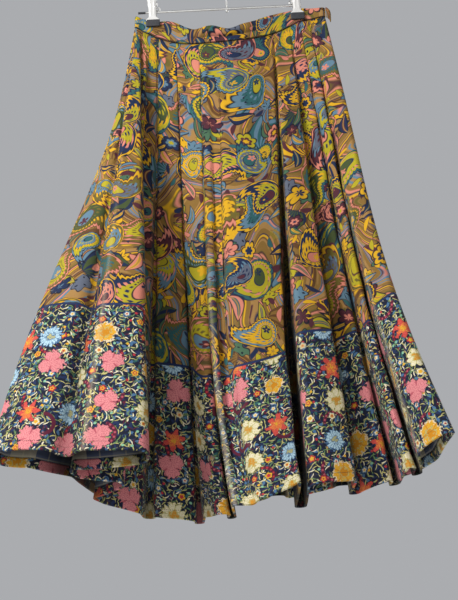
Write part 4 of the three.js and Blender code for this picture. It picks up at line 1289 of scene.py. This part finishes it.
def springLine(place):
    towards = -math.copysign(1, place)
    middle = place + towards * springLoop["across"]
    height = hanger["bar"] / 2 + hanger["gap"] + springLoop["radius"] + springLoop["wire"] / 2
    height -= hanger["barDrop"]
    half = springLoop["pitch"] * springLoop["turns"] / 2
    foot = height - springLoop["radius"]
    points = [(middle - towards * springLoop["leg"], -half, foot)]
    steps = springLoop["fine"] * springLoop["turns"] + 1
    for angle in np.linspace(0, 2 * np.pi * springLoop["turns"], steps):
        y = -half + springLoop["pitch"] * angle / (2 * np.pi)
        points.append((middle + towards * springLoop["radius"] * math.sin(angle), y,
                       height - springLoop["radius"] * math.cos(angle)))
    return points + [(middle - towards * springLoop["leg"], half, foot)]


def makeHanger():
    drop, bar = hanger["barDrop"], hanger["bar"]
    line = lambda start, end: [(x, 0, -drop) for x in np.linspace(start, end, hanger["barSteps"])]
    tipEnd = hanger["barLeft"] - hanger["gap"]
    made = {}
    add = lambda maker, name, *details: made.update({name: maker(name, *details)})
    add(wire, "hanger_hook", hookLine(), hanger["wire"] / 2, steel)
    add(wire, "hanger_bar", line(hanger["barLeft"], hanger["barRight"]), bar / 2, steel)
    add(wire, "hanger_bar_tip", line(tipEnd - hanger["tip"], tipEnd), bar / 2, rubber)
    add(rivetMesh, "hanger_rivet", -bar / 2 - hanger["gap"] - rivetBall["radius"] - drop)
    for side, place in hanger["clips"].items():
        for face, facing in (("front", -1), ("back", 1)):
            add(clipLeafMesh, f"clip_{side}_leaf_{face}", place, facing)
            add(clipPadMesh, f"clip_{side}_pad_{face}", place, facing)
        add(barrelMesh, f"clip_{side}_barrel", place)
        add(wire, f"clip_{side}_spring", springLine(place), springLoop["wire"] / 2, steel)
    return made


hangerMade = makeHanger()
print("hanger made", len(hangerMade))

# stitches: little threads laid along a line on the cloth
stitch = {"segments": 6, "rings": 5,
          "spacing": 3.0, "half": 1.05, "thick": 0.34, "seed": 5, "above": 0.1, "hemUp": 12, "bandUp": 0.07,
          "least": (0.85, 0.85, 0.82), "most": (1.15, 1.15, 1.08)}


def stitchTree():
    tree = bpy.data.node_groups.new("stitchLine", "GeometryNodeTree")
    socket = lambda name, way, kind: tree.interface.new_socket(
        name=name, in_out=way, socket_type="NodeSocket" + kind)
    socket("Line", "INPUT", "Geometry")
    for label, key in (("Spacing", "spacing"), ("Half length", "half"), ("Thickness", "thick")):
        socket(label, "INPUT", "Float").default_value = stitch[key] * mm
    socket("Stitches", "OUTPUT", "Geometry")
    given = tree.nodes.new("NodeGroupInput").outputs
    step = lambda kind, inputs, **settings: makeNode(tree, "GeometryNode" + kind, inputs, **settings)
    line = step("MeshToCurve", {0: given["Line"]})
    points = step("CurveToPoints", {"Curve": line, "Length": given["Spacing"]}, mode="LENGTH").node.outputs
    grain = step("MeshUVSphere", {"Segments": stitch["segments"], "Rings": stitch["rings"], "Radius": 1.0})
    size = makeNode(tree, "ShaderNodeCombineXYZ", {
        0: given["Thickness"], 1: given["Thickness"], 2: given["Half length"]})
    shaped = step("Transform", {"Geometry": grain, "Scale": size})
    jitter = makeNode(tree, "FunctionNodeRandomValue", {
        "Min": stitch["least"], "Max": stitch["most"], "Seed": stitch["seed"]}, data_type="FLOAT_VECTOR")
    placed = step("InstanceOnPoints", {"Points": points["Points"], "Instance": shaped,
                                       "Rotation": points["Rotation"], "Scale": jitter})
    painted = step("SetMaterial", {"Geometry": step("RealizeInstances", {0: placed}), "Material": thread})
    feed(tree.nodes.new("NodeGroupOutput").inputs[0], painted)
    return tree


def stitchLine(name, points, tree):
    mesh = bpy.data.meshes.new(name + "Line")
    mesh.from_pydata(points.tolist(), [(k, k + 1) for k in range(len(points) - 1)], [])
    obj = newObject(name, mesh, [])
    obj.modifiers.new("stitches", "NODES").node_group = tree
    seen = obj.evaluated_get(bpy.context.evaluated_depsgraph_get())
    made = bpy.data.meshes.new_from_object(seen)
    obj.modifiers.clear()
    obj.data = made
    made.name = name
    made.polygons.foreach_set("use_smooth", np.ones(len(made.polygons), bool))
    return obj


stitches = stitchTree()
stitchesOf = {}
for name in halves:
    hemAt = 1 - stitch["hemUp"] / skirt["length"]
    hem = surface(name, [hemAt - 0.001, hemAt])
    hemLine = (hem["points"] + hem["out"] * (wall + stitch["above"] * mm))[1, 2:-2]
    grid = bandGrid(name)
    row = int(round((1 - stitch["bandUp"]) * (band["levels"] - 1)))
    bandLine = (grid["points"] + grid["out"] * (band["wall"] / 2 + stitch["above"]) * mm)[row, 2:-2]
    stitchesOf[name] = {"hem": stitchLine("hem_stitches_" + name, hemLine, stitches),
                        "band": stitchLine("band_stitches_" + name, bandLine, stitches)}
print("stitches laid", sum(len(o.data.polygons) for made in stitchesOf.values() for o in made.values()))

# floor, light and the space round it, which is paler to the eye than as light
stageSet = {"floor": -2.2, "size": 40.0, "paper": tone(240, 240, 240), "space": tone(214, 216, 220),
            "rough": 0.9, "air": 0.42, "seen": 0.6}
lamps = {
    "key": {"spot": (-1.2, -1.3, 0.15), "aim": (-0.05, -0.1, -0.6), "size": 0.6, "power": 37},
    "fill": {"spot": (-0.1, -2.6, -1.0), "aim": (0, -0.1, -0.7), "size": 1.6, "power": 11},
    "back": {"spot": (1.1, 2.3, 0.9), "aim": (0, 0, -0.5), "size": 1.8, "power": 46},
}


def makeStage():
    bpy.ops.mesh.primitive_plane_add(size=stageSet["size"], location=(0, 0, stageSet["floor"]))
    floor = bpy.context.object
    floor.name = "floor"
    paper = newMaterial("floorPaper", Roughness=stageSet["rough"], Base_Color=stageSet["paper"])[0]
    floor.data.materials.append(paper)
    world = bpy.data.worlds.new("studio")
    world.use_nodes = True
    background = world.node_tree.nodes["Background"]
    background.inputs[0].default_value = stageSet["space"]
    seen = addNode("LightPath", tree=world.node_tree).node.outputs["Is Camera Ray"]
    feed(background.inputs[1], scaled(seen, stageSet["seen"] - stageSet["air"], stageSet["air"]))
    bpy.context.scene.world = world


def makeLamp(name, lamp):
    light = bpy.data.lights.new(name, "AREA")
    light.size = lamp["size"]
    light.energy = lamp["power"]
    obj = bpy.data.objects.new(name, light)
    obj.location = lamp["spot"]
    obj.visible_camera = False
    obj.rotation_euler = (Vector(lamp["aim"]) - Vector(lamp["spot"])).to_track_quat("-Z", "Y").to_euler()
    bpy.context.scene.collection.objects.link(obj)


makeStage()
for name, lamp in lamps.items():
    makeLamp(name, lamp)
bpy.context.scene.view_settings.view_transform = "Standard"
print("stage lit")


def placePiece(piece, node):
    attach(piece, "root")
    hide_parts(node)


for name, made in clothOf.items():
    for kind, piece in made.items():
        placePiece(piece, kind + "_" + name)
    placePiece(bandOf[name], "waistband_" + name)
placePiece(tongueMade, "waistband_tongue")
for node, piece in hangerMade.items():
    placePiece(piece, node)
for name, made in stitchesOf.items():
    for kind, piece in made.items():
        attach(piece, "root")
